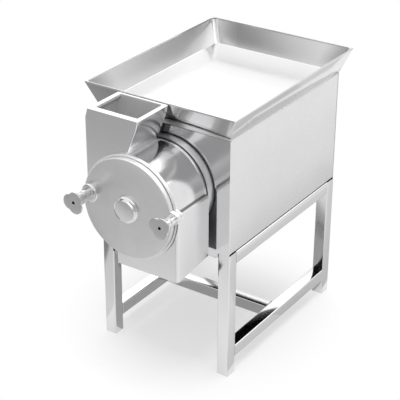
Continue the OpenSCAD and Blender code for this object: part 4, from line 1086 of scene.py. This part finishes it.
@dataclass
class Chamber(Assembly):
    """The cutting drum and the rings that carry it on the front panel."""

    collar_y: float = -327.0
    gasket_y: float = -331.0
    gasket_bulge: float = 0.6
    gasket_out: float = 2.8
    plate_y: float = -339.0
    plate_out: float = 2.0
    flange_y: float = -492.0
    collar_hole_r: float = 133.0
    plate_hole_r: float = 30.3
    flange_r: float = 157.0
    flange_hole_r: float = 138.0
    wall: float = 3.0
    strip: float = 6.0
    throat: Pair = (98.0, 165.0)
    outlet: Pair = (246.0, 357.6)
    between: Triple = (-440.0, -400.0, -370.0)
    columns: int = 240

    def ring(self, name: str, outer: float, inner: float, front: float, back: float,
             ease: float) -> bpy.types.Object:
        """Turns a ring with eased edges.

        Args:
            name: the piece's name.
            outer: its outer radius.
            inner: its inner radius.
            front: the Y of its front face.
            back: the Y of its back face.
            ease: the width of the eased edges.

        Returns:
            The ring.
        """
        profile = ((outer, back), (outer, front + ease), (outer - ease * 0.3, front + ease * 0.3),
                   (outer - ease, front), (inner + ease, front), (inner, front + ease), (inner, back))
        return Shell().rows(round_y(turns(192), profile), closed=True).build(name, 50.0)

    def drum(self) -> bpy.types.Object:
        """Makes the drum wall as two like grids of angle and Y, with the throat and the outlet left open.

        Returns:
            The piece.
        """
        turn = turns(self.columns)
        stations = (MOUTH_Y, MOUTH_Y + self.strip, *self.between, self.plate_y - self.strip, self.plate_y)
        outer, inner = (np.stack(round_y(turn, [(radius, y) for y in stations]))
                        for radius in (DRUM_R, DRUM_R - self.wall))
        middle = np.degrees(turn) + 180.0 / self.columns
        keep = np.ones((len(stations) - 1, len(turn)), bool)
        for low, high in (self.throat, self.outlet):
            keep[1:-1] &= (middle < low) | (middle > high)
        return Shell().walled(outer, inner, keep).build("drum_wall", 40.0)

    def flange(self) -> bpy.types.Object:
        """Makes the front flange: a ring whose reach grows round the lug and shrinks round the clamp arm.

        Returns:
            The piece.
        """
        turn = turns(self.columns)
        out = np.maximum(self.flange_r, circle_reach(turn, *CLAMP_RIGHT, LUG_R))
        inn = np.minimum(self.flange_hole_r, circle_reach(turn, *CLAMP_LEFT, LUG_R, far=False))
        face, inner_ease = self.flange_y, 0.8
        rows = round_y(turn, ((out, MOUTH_Y), (out, face + EASE), (out - EASE_MIDDLE, face + EASE_MIDDLE),
                              (out - EASE, face), (inn + inner_ease, face), (inn, face + inner_ease),
                              (inn, MOUTH_Y)))
        return Shell().rows(rows, closed=True).build("front_flange_ring", 50.0)

    def build(self) -> None:
        """Makes the rings and the drum wall, and dresses the cutting parts."""
        collar = self.ring("collar_band", DRUM_R, self.collar_hole_r, self.collar_y, FRONT_Y, 0.8)
        seal = self.ring("collar_seal", DRUM_R + self.gasket_out, self.collar_hole_r,
                         self.gasket_y - self.gasket_bulge, self.collar_y + self.gasket_bulge, 0.6)
        disc = self.ring("back_disc", DRUM_R + self.plate_out, self.plate_hole_r, self.plate_y,
                         self.gasket_y, 1.5)
        self.settle(collar, "bead_and_highlight", "mounting_collar")
        self.settle(seal, "black_rubber", "collar_gasket", slot="rubber")
        self.settle(disc, "spun_drum", "drum_back_plate")
        self.settle(self.drum(), "spun_drum", "drum_shell")
        flange = self.settle(self.flange(), "spun_drum", "drum_front_flange")
        _, _, z, _, out_y, _ = faces_of(flange)
        # Painted highlight: the flange's upper half takes the bright bead steel.
        self.part_finish(flange, "bead_and_highlight", z > AXIS[1])
        # Painted shade: the sides of the flange's lower half are dark steel.
        self.part_finish(flange, "painted_shade_seam", (z < AXIS[1] - 8.0) & (np.abs(out_y) < 0.5))
        self.keep("ground_steel", "discharge_grate", "fixed_knives", "rotor_blades")
        self.keep("bolt_steel", "chamber_bolts")
        self.keep("black_rubber", "shaft_seal")


@dataclass
class FeedHopper(Assembly):
    """The feed hopper: a thick rim, a kink below it and walls that end on the drum."""

    top_z: float = 853.0
    kink_z: float = 825.0
    edge_z: float = 845.0
    back_y: float = -340.0
    left_x: float = -140.0
    rim_x: Pair = (-132.0, 40.0)
    kink_x: float = 34.0
    foot: Pair = (0.0, 738.0)
    low_z: float = 601.0
    wall: float = 5.0
    mouth: tuple[Pair, Pair] = ((-118.0, -464.0), (26.0, -348.0))
    corner: float = 2.5
    rim_ease: float = 0.8
    ramp_top: Pair = (-135.0, 654.0)
    ramp_fall: float = 2.0
    sill_x: float = -125.3
    lip_t: float = 2.0

    def ramp_z(self, x: Reach) -> Reach:
        """Gives the ramp's height inside the left wall: its top, less its fall times the way from there."""
        return self.ramp_top[1] - self.ramp_fall * (x - self.ramp_top[0])

    def low_row(self, loop: Loop, inset: float) -> Points:
        """Gives the loop where the walls meet the drum.

        The drum's height over a place in X is the axis plus the root of radius squared less offset squared. A
        column's place slides with the slanted right wall, so its height is found by some rounds of taking
        the drum's height at the place that the last height gives.

        Args:
            loop: the loop.
            inset: how far the wall's face lies in from the outside.

        Returns:
            The row of points.
        """
        (foot_x, foot_z), rounds = self.foot, 24
        low = np.full(len(loop.share), foot_z)
        back = np.full(len(low), self.back_y - inset)
        for _ in range(rounds):
            rise = (np.clip(low, foot_z, self.kink_z) - foot_z) / (self.kink_z - foot_z)
            right = foot_x + rise * (self.kink_x - foot_x) - inset
            x, y = loop.at((self.left_x + inset, MOUTH_Y + inset), np.stack([right, back], -1), self.corner).T
            drum_z = AXIS[1] + np.sqrt(np.maximum(0.0, SEAT_R ** 2 - (x - AXIS[0]) ** 2))
            low = np.maximum(drum_z, self.ramp_z(x) if inset else self.low_z)
        return np.stack([x, y, low], axis=-1)

    def lip(self) -> Points:
        """Makes the turned-out lip along the drum at the foot of the right wall.

        Returns:
            The rows of a tube along the drum.
        """
        under, beyond, ease = 2.0, 4.0, 0.5
        foot = math.degrees(math.acos((self.foot[0] - AXIS[0]) / DRUM_R))
        turn = np.radians(np.linspace(foot + under, foot - beyond, 9))
        top, edge = SEAT_R + self.lip_t, SEAT_R + self.lip_t - 0.3
        return np.stack(round_y(turn, ((SEAT_R, self.back_y), (edge, self.back_y), (top, self.back_y - ease),
                                       (top, MOUTH_Y + ease), (edge, MOUTH_Y), (SEAT_R, MOUTH_Y))))

    def build(self) -> None:
        """Makes the hopper as loops: up the outside, over the rim, down the inside, back along the drum."""
        loop = Loop.plan(side_u=44, side_v=6, arc=4)
        ease, top_z, back_y = self.rim_ease, self.top_z, self.back_y

        def ring(box: tuple[Pair, Pair], z: float, inset: float = 0.0) -> Points:
            """One loop of the hopper at a height, drawn in by an inset."""
            return loop.level(np.add(box[0], inset), np.subtract(box[1], inset), self.corner, z)

        body = ((self.left_x, MOUTH_Y), (self.kink_x, back_y))
        rim = ((self.rim_x[0], MOUTH_Y), (self.rim_x[1], back_y))
        inner_low = self.low_row(loop, self.wall)
        sill = inner_low.copy()
        sill[sill[:, 0] < self.sill_x, ::2] = self.sill_x, self.ramp_z(self.sill_x)
        rows = [self.low_row(loop, 0.0), ring(body, self.kink_z), ring(rim, top_z - ease),
                ring(rim, top_z, ease), ring(self.mouth, top_z, -ease), ring(self.mouth, top_z - ease),
                ring(self.mouth, self.edge_z), ring(body, self.kink_z, self.wall), inner_low, sill]
        lip = self.lip()
        shell = Shell().rows(rows, closed=True).rows(lip, wrap=False, closed=True)
        shell.lid(lip[:, 0]).lid(lip[:, -1])
        self.finish(self.settle(shell.build("hopper_sheet", 22.0), "hopper_sheet", "hopper", "hopper_ramp"))

    def finish(self, piece: bpy.types.Object) -> None:
        """Grinds the inside, the back and the lip; a dark strip of painted shade stands along the back's
        slanted edge, for the shaded gap behind the hopper.

        Args:
            piece: the hopper.
        """
        x, y, z, out_x, out_y, _ = faces_of(piece)
        front, back, beside, clear = MOUTH_Y, self.back_y, 30.0, 2.0
        left_end, right_start, lip_z = -100.0, self.left_x + 20.0, 700.0
        strip_start, strip_end = 0.13, 0.24
        inside = (y > front + clear) & (y < back - clear) & (z < self.top_z - 1.0)
        across = ((out_x > 0.3) & (x < left_end)) | ((out_x < -0.3) & (x > right_start))
        along = ((out_y > 0.5) & (y < front + beside)) | ((out_y < -0.5) & (y > back - beside))
        behind = (y > back - 1.0) & (out_y > 0.9)
        slant_x = np.interp(z, (self.foot[1], self.kink_z), (self.foot[0], self.kink_x))
        drawn_in = (slant_x - x) / (x.max() - x.min())
        self.part_finish(piece, "hopper_inside", (inside & (across | along)) | behind)
        # Painted shade: a dark strip on the back, where the gap behind the hopper lies in shade.
        self.part_finish(piece, "gap_shade_steel", behind & (drawn_in > strip_start) & (drawn_in < strip_end))
        self.part_finish(piece, "bead_and_highlight", (off_axis(x, z) < SEAT_R + self.lip_t + 0.5)
                         & (x > self.foot[0] - 3.0) & (z > lip_z))


@dataclass
class OutletChute(Assembly):
    """The outlet under the drum, with a shoulder that closes on the drum's right side."""

    left_x: float = -48.0
    right_x: float = 171.0
    back_y: float = -331.0
    front_z: float = 394.0
    rise: float = 18.0
    wall: float = 5.0
    corner: float = 10.0
    shoulder: Pair = (161.8, 612.0)
    shoulder_low_z: float = 600.0
    ridge: float = 0.4

    def columns(self, inset: float) -> tuple[Points, Points]:
        """Gives the places round the outlet, from its back left corner by the front to the back right.

        Args:
            inset: how far the face lies in from the outside.

        Returns:
            The X and the Y of each column.
        """
        side_n, front_n, back_n = 4, 46, 47
        left, right = self.left_x + inset, self.right_x - inset
        front, back = MOUTH_Y + inset, self.back_y - inset
        radius = max(self.corner - inset, 2.0)
        arc = np.radians(np.linspace(0.0, 90.0, 9))
        early, late = radius * (1 - np.sin(arc)), radius * (1 - np.cos(arc))
        side = np.linspace(back, front + radius, side_n + 1)[:-1]
        x = [np.full(side_n, left), left + late,
             np.linspace(left + radius, right - radius, front_n + 2)[1:-1], right - early,
             np.full(side_n, right), np.linspace(right, left, back_n + 2)[1:-1]]
        y = [side, front + early, np.full(front_n, front), front + late, side[::-1], np.full(back_n, back)]
        return np.concatenate(x), np.concatenate(y)

    def foot(self, y: Points) -> Points:
        """Gives the height of the slanted foot at a place in Y."""
        return self.front_z + (y - MOUTH_Y) * self.rise / (self.back_y - MOUTH_Y)

    def crown(self, x: Points) -> Points:
        """Gives the height at which a wall ends: on the drum's lower half, or on the shoulder beside it.

        Under the drum it is the axis less the root of radius squared less offset squared.

        Args:
            x: the places in X.

        Returns:
            One height for each place.
        """
        off = x - AXIS[0]
        under = AXIS[1] - np.sqrt(np.maximum(0.0, SEAT_R ** 2 - off ** 2))
        fall = (self.shoulder[1] - self.shoulder_low_z) / (self.right_x - self.shoulder[0])
        beside = np.maximum(self.shoulder_low_z, self.shoulder[1] - (x - self.shoulder[0]) * fall)
        return np.where(np.abs(off) < SEAT_R, under, beside)

    def build(self) -> None:
        """Makes the outlet as rows: foot, crown and shoulder outside, then down the inside to the foot."""
        (x, y), (inner_x, inner_y) = self.columns(0.0), self.columns(self.wall)
        seat_x = AXIS[0] + SEAT_R
        top, foot = self.crown(x), self.foot(y)
        ridge_x = np.where(x > seat_x, self.shoulder[0] + self.ridge, x)
        ridge_z = np.where(x > seat_x, self.shoulder[1], top)
        profile = [(x, y, foot), (x, y, (top + foot) / 2), (x, y, top),
                   ((x + ridge_x) / 2, y, (top + ridge_z) / 2), (ridge_x, y, ridge_z),
                   (np.minimum(ridge_x, seat_x), y, np.minimum(ridge_z, AXIS[1])),
                   (inner_x, inner_y, np.minimum(self.crown(inner_x), AXIS[1])),
                   (inner_x, inner_y, self.foot(inner_y))]
        shell = Shell().rows([np.stack(row, -1) for row in profile], closed=True)
        piece = self.settle(shell.build("outlet_sheet", 26.0), "outlet_sheet", "outlet_chute")
        x, y, z, _, out_y, out_z = faces_of(piece)
        # Painted shade: the back wall that faces the panel is dark steel.
        self.part_finish(piece, "gap_shade_steel", (out_y > 0.9) & (y > self.back_y - 1.0))
        # Painted shade: a dark strip along the shoulder's top, where it meets the drum.
        crease_shade_x, crease_shade_half, crease_shade_y = self.shoulder[0] + 1.5, 3.5, MOUTH_Y + 22.0
        self.part_finish(piece, "painted_shade_seam", (out_z > 0.2) & (z > self.shoulder_low_z - 2.0)
                         & (np.abs(x - crease_shade_x) < crease_shade_half) & (y > crease_shade_y))


# Door and clamps


@dataclass
class Door(Assembly):
    """The round door with its boss and the collar that carries the left clamp."""

    seal_y: float = -494.0
    face_y: float = -508.0
    radius: float = 151.0
    rim_in: float = 138.0
    face_t: float = 5.0
    edge: float = 3.0
    boss_r: float = 42.0
    boss_h: float = 16.0
    boss_edge: float = 14.0
    crown: float = 1.2
    seat_r: float = 28.0
    seat_edge: float = 5.0
    screw_hole_r: float = 6.06
    spigot_r: float = 23.0
    spigot_y: float = 9.0
    bore_r: float = 13.3

    def plate(self) -> bpy.types.Object:
        """Makes the door: its outline drawn in along a rounded edge, the face, the spigot hole and the back.

        Returns:
            The piece.
        """
        turn = turns(240)
        out = np.maximum(self.radius, circle_reach(turn, *CLAMP_RIGHT, LUG_R))
        inner, back = self.spigot_r + 0.3, self.face_y + self.face_t
        profile = [(out, self.seal_y)]
        profile += [(out - self.edge * (1 - math.cos(angle)), self.face_y + self.edge * (1 - math.sin(angle)))
                    for angle in np.radians(np.linspace(0.0, 90.0, 6))]
        profile += [((out - self.edge) * (1 - share) + inner * share, self.face_y)
                    for share in (0.35, 0.7, 1.0)]
        profile += [(inner, back), (self.rim_in, back), (self.rim_in, self.seal_y)]
        return Shell().rows(round_y(turn, profile), closed=True).build("door_disc", 40.0)

    def boss(self) -> bpy.types.Object:
        """Turns the boss: a rounded cap with a faint crown, a spigot and the bore for the bush.

        Returns:
            The piece.
        """
        front, tip_r, bore_t = self.face_y - self.boss_h, 0.02, 4.0
        crown = ((20.0, 0.6), (10.0, 0.2), (tip_r, 0.0))
        cap_y, spigot_y = front + self.crown, self.face_y + self.spigot_y
        cap = [(self.boss_r, self.face_y)]
        cap += rounded((self.boss_r, cap_y), (self.boss_r, 0.0), (0.0, cap_y), self.boss_edge, 10)
        cap += [(reach, front + fall) for reach, fall in crown]
        back = [(tip_r, front + bore_t), (self.bore_r, front + bore_t), (self.bore_r, spigot_y),
                (self.spigot_r, spigot_y), (self.spigot_r, self.face_y), (self.boss_r, self.face_y)]
        outer, inner = (round_y(turns(192), profile) for profile in (cap, back))
        return Shell().rows(outer).rows(inner).lid(outer[-1]).lid(inner[0]).build("door_cap", 40.0)

    def collar(self) -> bpy.types.Object:
        """Turns the collar under the left clamp, with a rounded front edge and the bore for the screw.

        Returns:
            The piece.
        """
        front, hole = self.face_y - self.boss_h, self.screw_hole_r
        profile = [(self.seat_r, self.face_y)]
        profile += rounded((self.seat_r, front), (self.seat_r, 0.0), (0.0, front), self.seat_edge, 7)
        profile += [(6.5, front), (hole, front + 0.4), (hole, self.face_y)]
        rows = round_y(turns(96), profile, clamp_middle(CLAMP_LEFT))
        return Shell().rows(rows, closed=True).build("clamp_seat", 40.0)

    def build(self) -> None:
        """Makes the door's pieces and dresses its seal and bush."""
        plate = self.settle(self.plate(), "turned_door", "door_plate", body="door")
        x, _, z, _, out_y, _ = faces_of(plate)
        # Painted highlight: the upper half of the door's rim takes the bright bead steel.
        self.part_finish(plate, "bead_and_highlight", (off_axis(x, z) > self.radius - 4.0) & (out_y > -0.97)
                         & (out_y < 0.5) & (z > AXIS[1]))
        self.settle(self.boss(), "spun_drum", "door_boss", body="door")
        self.settle(self.collar(), "spun_drum", "clamp_collar", body="door")
        self.keep("black_rubber", "door_gasket")
        self.keep("bush_bronze", "door_bush")


@dataclass
class ClampKnob(Assembly):
    """A clamp knob: a grooved sleeve with a three-lobed plate, and the screw through the door."""

    node: str
    clamp: Pair
    seat_y: float
    length: float
    turned_by: float
    sleeve_r: float = 17.0
    groove: float = 1.5
    groove_share: float = 0.52
    lobe_r: float = 23.5
    lobe_off: float = 11.5
    plate_t: float = 5.0
    front_ease: float = 1.4
    back_ease: float = 1.0
    hole_r: float = 5.0
    hole_d: float = 13.0
    screw_r: float = 6.0
    screw_end_y: float = -482.0

    def profile(self, lobes: Points) -> list[tuple[Reach, float]]:
        """Lists the knob's rings from the hole over the plate and down the sleeve to the screw's end.

        Where a lobe's edge is rounded, the reach is drawn in and the ring moves back by a quarter circle.

        Args:
            lobes: the plate's reach for each ray.

        Returns:
            The reach and the Y of each ring.
        """
        tip, sleeve, seat, end = self.seat_y - self.length, self.sleeve_r, self.seat_y, self.screw_end_y
        back = tip + self.plate_t
        groove_y = back + self.groove_share * (self.length - self.plate_t)
        rings = [(self.hole_r * 0.01, tip + self.hole_d + 1.0), (self.hole_r, tip + self.hole_d),
                 (self.hole_r, tip + 0.5), (self.hole_r + 0.5, tip), ((lobes + self.hole_r) / 2, tip)]
        ease = self.front_ease
        rings += [(lobes - ease * (1 - math.sin(angle)), tip + ease * (1 - math.cos(angle)))
                  for angle in np.radians((0.0, 30.0, 60.0, 90.0))]
        ease = self.back_ease
        rings += [(lobes - ease * (1 - math.cos(angle)), back - ease * (1 - math.sin(angle)))
                  for angle in np.radians((0.0, 45.0, 90.0))]
        rings += [(sleeve + EASE, back), (sleeve + EASE_MIDDLE, back + EASE_MIDDLE), (sleeve, back + EASE)]
        side = [(2.3, 0.0), (2.0, 0.3), (1.6, self.groove)]
        rings += [(sleeve - depth, groove_y - off) for off, depth in side]
        rings += [(sleeve - depth, groove_y + off) for off, depth in reversed(side)]
        rings += [(sleeve, seat - EASE), (sleeve - EASE_MIDDLE, seat - EASE_MIDDLE), (sleeve - EASE, seat)]
        screw = self.screw_r
        return rings + [(screw, seat), (screw, end - 1.0), (screw - 1.0, end), (0.02, end)]

    def build(self) -> None:
        """Makes the knob; the plate's reach is the farthest edge of its three lobes."""
        turn, middle = turns(144), clamp_middle(self.clamp)
        lobes = np.max([circle_reach(turn, self.lobe_off, self.turned_by + 120.0 * i, self.lobe_r)
                        for i in range(3)], axis=0)
        rows = round_y(turn, self.profile(lobes), middle)
        shell = Shell().rows(rows).lid(rows[0]).lid(rows[-1])
        finish = f"turned_{self.node}"
        self.finishes.add(TurnedSteel(finish, (0.80, 0.80, 0.805), 0.2, 1600.0, 4e-6, 3e-5, middle))
        piece = self.settle(shell.build(f"{self.node}_grip", 34.0), finish, self.node,
                            body=self.node.replace("clamp_", ""))
        x, y, z, _, out_y, _ = faces_of(piece)
        plate_back = self.seat_y - self.length + self.plate_t
        # The plate's front face takes the darker ground steel: partly its own ground finish, partly painted
        # shade.
        self.part_finish(piece, "ground_steel", (out_y < -0.95) & (y < plate_back - 2.0))
        # Painted shade: the hole's walls are black, for the shade inside it.
        self.part_finish(piece, "black_rubber", (off_axis(x, z, middle) < self.hole_r + 0.1)
                         & (y < self.seat_y - 20.0))


@dataclass
class Drive(Assembly):
    """The rotor, the shaft with its bearings, the belt and the motor, all seen through the openings."""

    def build(self) -> None:
        """Dresses the nodes, which keep their own shapes."""
        self.keep("turned_shaft", "main_shaft", "rotor_hub", "motor_shaft")
        self.keep("ground_steel", "rotor_nut", "bearing_inserts")
        self.keep("bolt_steel", "bearing_bolts", "motor_bolts")
        self.keep("cast_enamel", "driven_pulley", "motor_pulley", "bearing_block_front", "bearing_block_rear",
                  "motor_rails")
        self.keep("grey_enamel", "shaft_pedestal", "motor_frame", "motor_shields", "motor_fan_cover")
        self.keep("black_plastic", "terminal_box", "motor_fan")
        self.keep("black_rubber", "v_belt")


# Studio, with lengths in metres in the model's frame


class Facing(Enum):
    """How a studio sheet is turned, in degrees about X, Y and Z."""

    UP = (0.0, 0.0, 0.0)
    FRONT = (90.0, 0.0, 0.0)
    SIDE = (90.0, 0.0, 90.0)


class Seen(Enum):
    """What a studio card does to a reflection: it glows, or it dims what stands behind it."""

    GLOWS = "ShaderNodeEmission"
    DIMS = "ShaderNodeBsdfTransparent"


@dataclass(frozen=True)
class Card:
    """A studio card that only reflections meet.

    It has a middle and half sides; its tone runs along one axis through stops, each a place and a tone.
    """

    name: str
    middle: Triple
    half: Pair
    facing: Facing
    along: Along
    stops: tuple[Pair, ...]
    seen: Seen = Seen.DIMS


@dataclass
class Studio:
    """A plain pale floor, soft light from above, the camera, and cards round the machine."""

    floor_tone: float = 0.9
    fill: float = 0.5
    key: float = 90.0
    shade: float = 0.42
    white: Pair = (0.28, 0.54)
    camera_at: Triple = (1.9391, -2.89315, 2.2563)
    camera_turn: Triple = (62.659, 0.272, 33.754)
    lens: float = 116.1
    cards: tuple[Card, ...] = (
        Card("flag_front", (2.2, -2.6, 1.65), (2.0, 1.65), Facing.FRONT, Along.Z,
             ((0.0, 0.45), (0.7, 0.6), (1.2, 0.72), (1.6, 0.45), (3.3, 0.42))),
        Card("flag_front_left", (-2.2, -2.5, 1.3), (1.3, 1.3), Facing.FRONT, Along.X,
             ((-3.5, 0.25), (-1.88, 0.25), (-1.5, 1.0), (-0.9, 1.0))),
        Card("flag_back_right", (3.2, 3.5, 1.1), (1.6, 0.8), Facing.FRONT, Along.X,
             ((1.6, 0.3), (2.5, 0.42), (3.0, 1.0), (4.8, 1.0))),
        Card("flag_right", (3.0, -0.4, 1.8), (2.6, 1.8), Facing.SIDE, Along.Z,
             ((0.0, 0.5), (1.4, 0.45), (2.4, 0.62), (3.6, 0.62))),
        Card("flag_left", (-3.0, -1.3, 1.3), (1.6, 1.3), Facing.SIDE, Along.Z, ((0.0, 0.6), (2.6, 0.7))),
        Card("flag_floor_front", (-1.1, -1.45, 0.0015), (1.4, 1.15), Facing.UP, Along.Y,
             ((-1.9, 0.42), (-1.65, 0.46), (-1.2, 0.66), (-0.9, 0.80), (-0.4, 0.95), (-0.3, 1.0))),
        Card("flag_floor_left", (-0.79, -0.44, 0.0022), (0.25, 0.44), Facing.UP, Along.X,
             ((-1.0, 0.36), (-0.6, 0.3))),
        Card("flag_floor_under", (0.0, 0.18, 0.0018), (0.2, 0.33), Facing.UP, Along.Y,
             ((-0.3, 0.56), (0.5, 0.56))),
        Card("flag_floor_far", (1.35, -1.5, 0.0012), (0.9, 0.8), Facing.UP, Along.X,
             ((0.45, 0.88), (1.0, 0.88), (1.4, 0.66), (2.2, 0.66))),
        Card("flag_floor_right", (0.75, 0.85, 0.001), (0.5, 1.15), Facing.UP, Along.X,
             ((0.25, 0.72), (0.35, 0.78), (0.5, 0.86), (0.8, 0.93), (1.2, 1.0))),
        Card("flag_floor_leg", (-0.42, -0.5, 0.0026), (0.14, 0.34), Facing.UP, Along.X,
             ((-0.56, 0.8), (-0.28, 0.8))),
        Card("flag_floor_rear", (0.45, 0.75, 0.0014), (0.2, 0.55), Facing.UP, Along.X,
             ((0.25, 0.84), (0.65, 0.88))),
        Card("flag_under", (-0.03, 0.04, 0.3), (0.16, 0.34), Facing.UP, Along.Y, ((-0.3, 0.04), (0.3, 0.04))),
        Card("window_front", (0.1, -2.48, 0.98), (0.6, 0.34), Facing.FRONT, Along.Z,
             ((0.0, 2.2), (1.0, 2.2)), Seen.GLOWS),
        Card("ceiling", (-0.8, 1.7, 2.7), (3.4, 2.9), Facing.UP, Along.Y,
             ((-1.2, 1.0), (-0.5, 1.2), (-0.1, 1.75), (0.9, 1.75), (1.6, 1.5), (2.4, 1.56), (3.0, 1.95),
              (4.6, 1.2)), Seen.GLOWS),
    )

    @staticmethod
    def shown(graph: Graph) -> Value:
        """Gives the flag that is 1 for camera, glossy and transmission rays.

        Args:
            graph: the graph that asks for it.

        Returns:
            The flag.
        """
        rays = graph.node("ShaderNodeLightPath").outputs
        camera, gloss, through = (Value(graph, rays[f"Is {kind} Ray"])
                                  for kind in ("Camera", "Glossy", "Transmission"))
        return (camera + gloss + through).clamp()

    def world(self) -> None:
        """Sets a world that is white to the camera and to gloss, and a plain level to everything else."""
        world = bpy.data.worlds.new("studio_world")
        bpy.context.scene.world = world
        graph = Graph(world, "ShaderNodeOutputWorld")
        level = self.shown(graph) * (1.0 - self.fill) + self.fill
        graph.show(graph.node("ShaderNodeBackground", {"Color": WHITE, "Strength": level}))

    def sheet(self, name: str, middle: Triple, half: Pair, facing: Facing) -> tuple[bpy.types.Object, Graph]:
        """Makes a flat studio sheet, placed in its mesh, with a material of its own.

        Args:
            name: the name of the sheet and of its material.
            middle: its middle.
            half: its half sides.
            facing: how it is turned.

        Returns:
            The sheet and its material's graph.
        """
        corners = np.array([[-1, -1, 0], [1, -1, 0], [1, 1, 0], [-1, 1, 0]]) * (*half, 0.0)
        spin = np.array(Euler([math.radians(angle) for angle in facing.value]).to_matrix())
        mesh = bpy.data.meshes.new(name)
        mesh.from_pydata((corners @ spin.T + middle).tolist(), [], [(0, 1, 2, 3)])
        sheet = bpy.data.objects.new(name, mesh)
        bpy.context.collection.objects.link(sheet)
        material = bpy.data.materials.new(name)
        mesh.materials.append(material)
        return sheet, Graph(material)

    def floor(self) -> None:
        """Lays the floor: pale, faintly mottled, and white where it runs out into the backdrop.

        For the camera and for gloss the floor near the machine is part lit and part white of its own, so the
        shadow stays soft; from one distance to the next it goes over into plain white.
        """
        _, graph = self.sheet("studio_floor", (0.0, 0.0, -0.0005), (14.0, 14.0), Facing.UP)
        tone = (self.floor_tone,) * 3
        plain = graph.node("ShaderNodeBsdfPrincipled", {
            "Base Color": graph.blend(graph.noise(2.0, 2.0), shade(tone, 0.995), tone), "Roughness": 0.9,
            "Specular IOR Level": 0.0})
        x, y, _ = graph.split(graph.place)
        y = y - STAND_Y * MM
        lit = graph.node("ShaderNodeBsdfDiffuse", {"Color": (*tone, 1.0)})
        white = graph.node("ShaderNodeEmission", {"Color": WHITE})

        def mixed(share: Any, first: Any, second: Any) -> Any:
            """Two shaders mixed by a share."""
            return graph.node("ShaderNodeMixShader", {0: share, 1: first.outputs[0], 2: second.outputs[0]})

        pale = mixed(((x * x + y * y) ** 0.5).ramp(*self.white), mixed(1.0 - self.shade, lit, white), white)
        graph.show(mixed(self.shown(graph), plain, pale))

    def lamps(self) -> None:
        """Hangs a wide soft lamp over the machine and a weaker one in front of it."""
        for name, place, turn, size, power in (
                ("key_lamp", (0.2, 0.5, 3.0), (-9.0, 4.0, 0.0), 2.2, self.key),
                ("front_lamp", (0.5, -2.2, 2.4), (40.0, 8.0, 0.0), 1.6, self.key * 0.15)):
            light = bpy.data.lights.new(name, "AREA")
            light.shape = "SQUARE"
            light.size = size
            light.energy = power
            lamp = bpy.data.objects.new(name, light)
            lamp.location = place
            lamp.rotation_euler = [math.radians(angle) for angle in turn]
            lamp.visible_glossy = lamp.visible_camera = False
            bpy.context.collection.objects.link(lamp)

    def hang_cards(self) -> None:
        """Sets up the cards, which only glossy rays meet."""
        for card in self.cards:
            sheet, graph = self.sheet(card.name, card.middle, card.half, card.facing)
            along = dict(zip(Along, graph.split(graph.place)))[card.along]
            low, high = card.stops[0][0], card.stops[-1][0]
            stops = [((place - low) / (high - low), tone) for place, tone in card.stops]
            tone = graph.node("ShaderNodeValToRGB", {0: along.ramp(low, high)}, stops=stops)
            graph.show(graph.node(card.seen.value, {"Color": tone.outputs[0]}))
            sheet.visible_camera = sheet.visible_diffuse = False
            sheet.visible_shadow = sheet.visible_transmission = False

    def camera(self) -> None:
        """Places the camera at the viewing angle of the picture."""
        lens = bpy.data.cameras.new("studio_camera")
        lens.lens = self.lens
        lens.sensor_width = 36.0
        lens.clip_end = 60.0
        seen = bpy.data.objects.new("studio_camera", lens)
        seen.location = self.camera_at
        tilt, roll, turn = (math.radians(angle) for angle in self.camera_turn)
        spin = Euler((tilt, 0.0, turn)).to_matrix() @ Euler((0.0, 0.0, roll)).to_matrix()
        seen.rotation_euler = spin.to_euler()
        bpy.context.collection.objects.link(seen)
        bpy.context.scene.camera = seen

    def build(self) -> None:
        """Sets up everything round the machine."""
        self.camera()
        self.world()
        self.floor()
        self.lamps()
        self.hang_cards()
        bpy.context.scene.view_settings.view_transform = "Standard"


def main() -> None:
    logging.basicConfig(level=logging.INFO, format="%(name)s: %(message)s")
    Studio().build()
    finishes = Finishes()
    for assembly in (Stand(finishes), Cabinet(finishes), LoadingTray(finishes), Chamber(finishes),
                     FeedHopper(finishes), OutletChute(finishes), Door(finishes),
                     ClampKnob(finishes, "clamp_knob_left", CLAMP_LEFT, -524.3, 69.0, 60.0),
                     ClampKnob(finishes, "clamp_knob_right", CLAMP_RIGHT, -508.3, 64.0, 40.0),
                     Drive(finishes)):
        assembly.build()


if __name__ == "__main__":
    main()
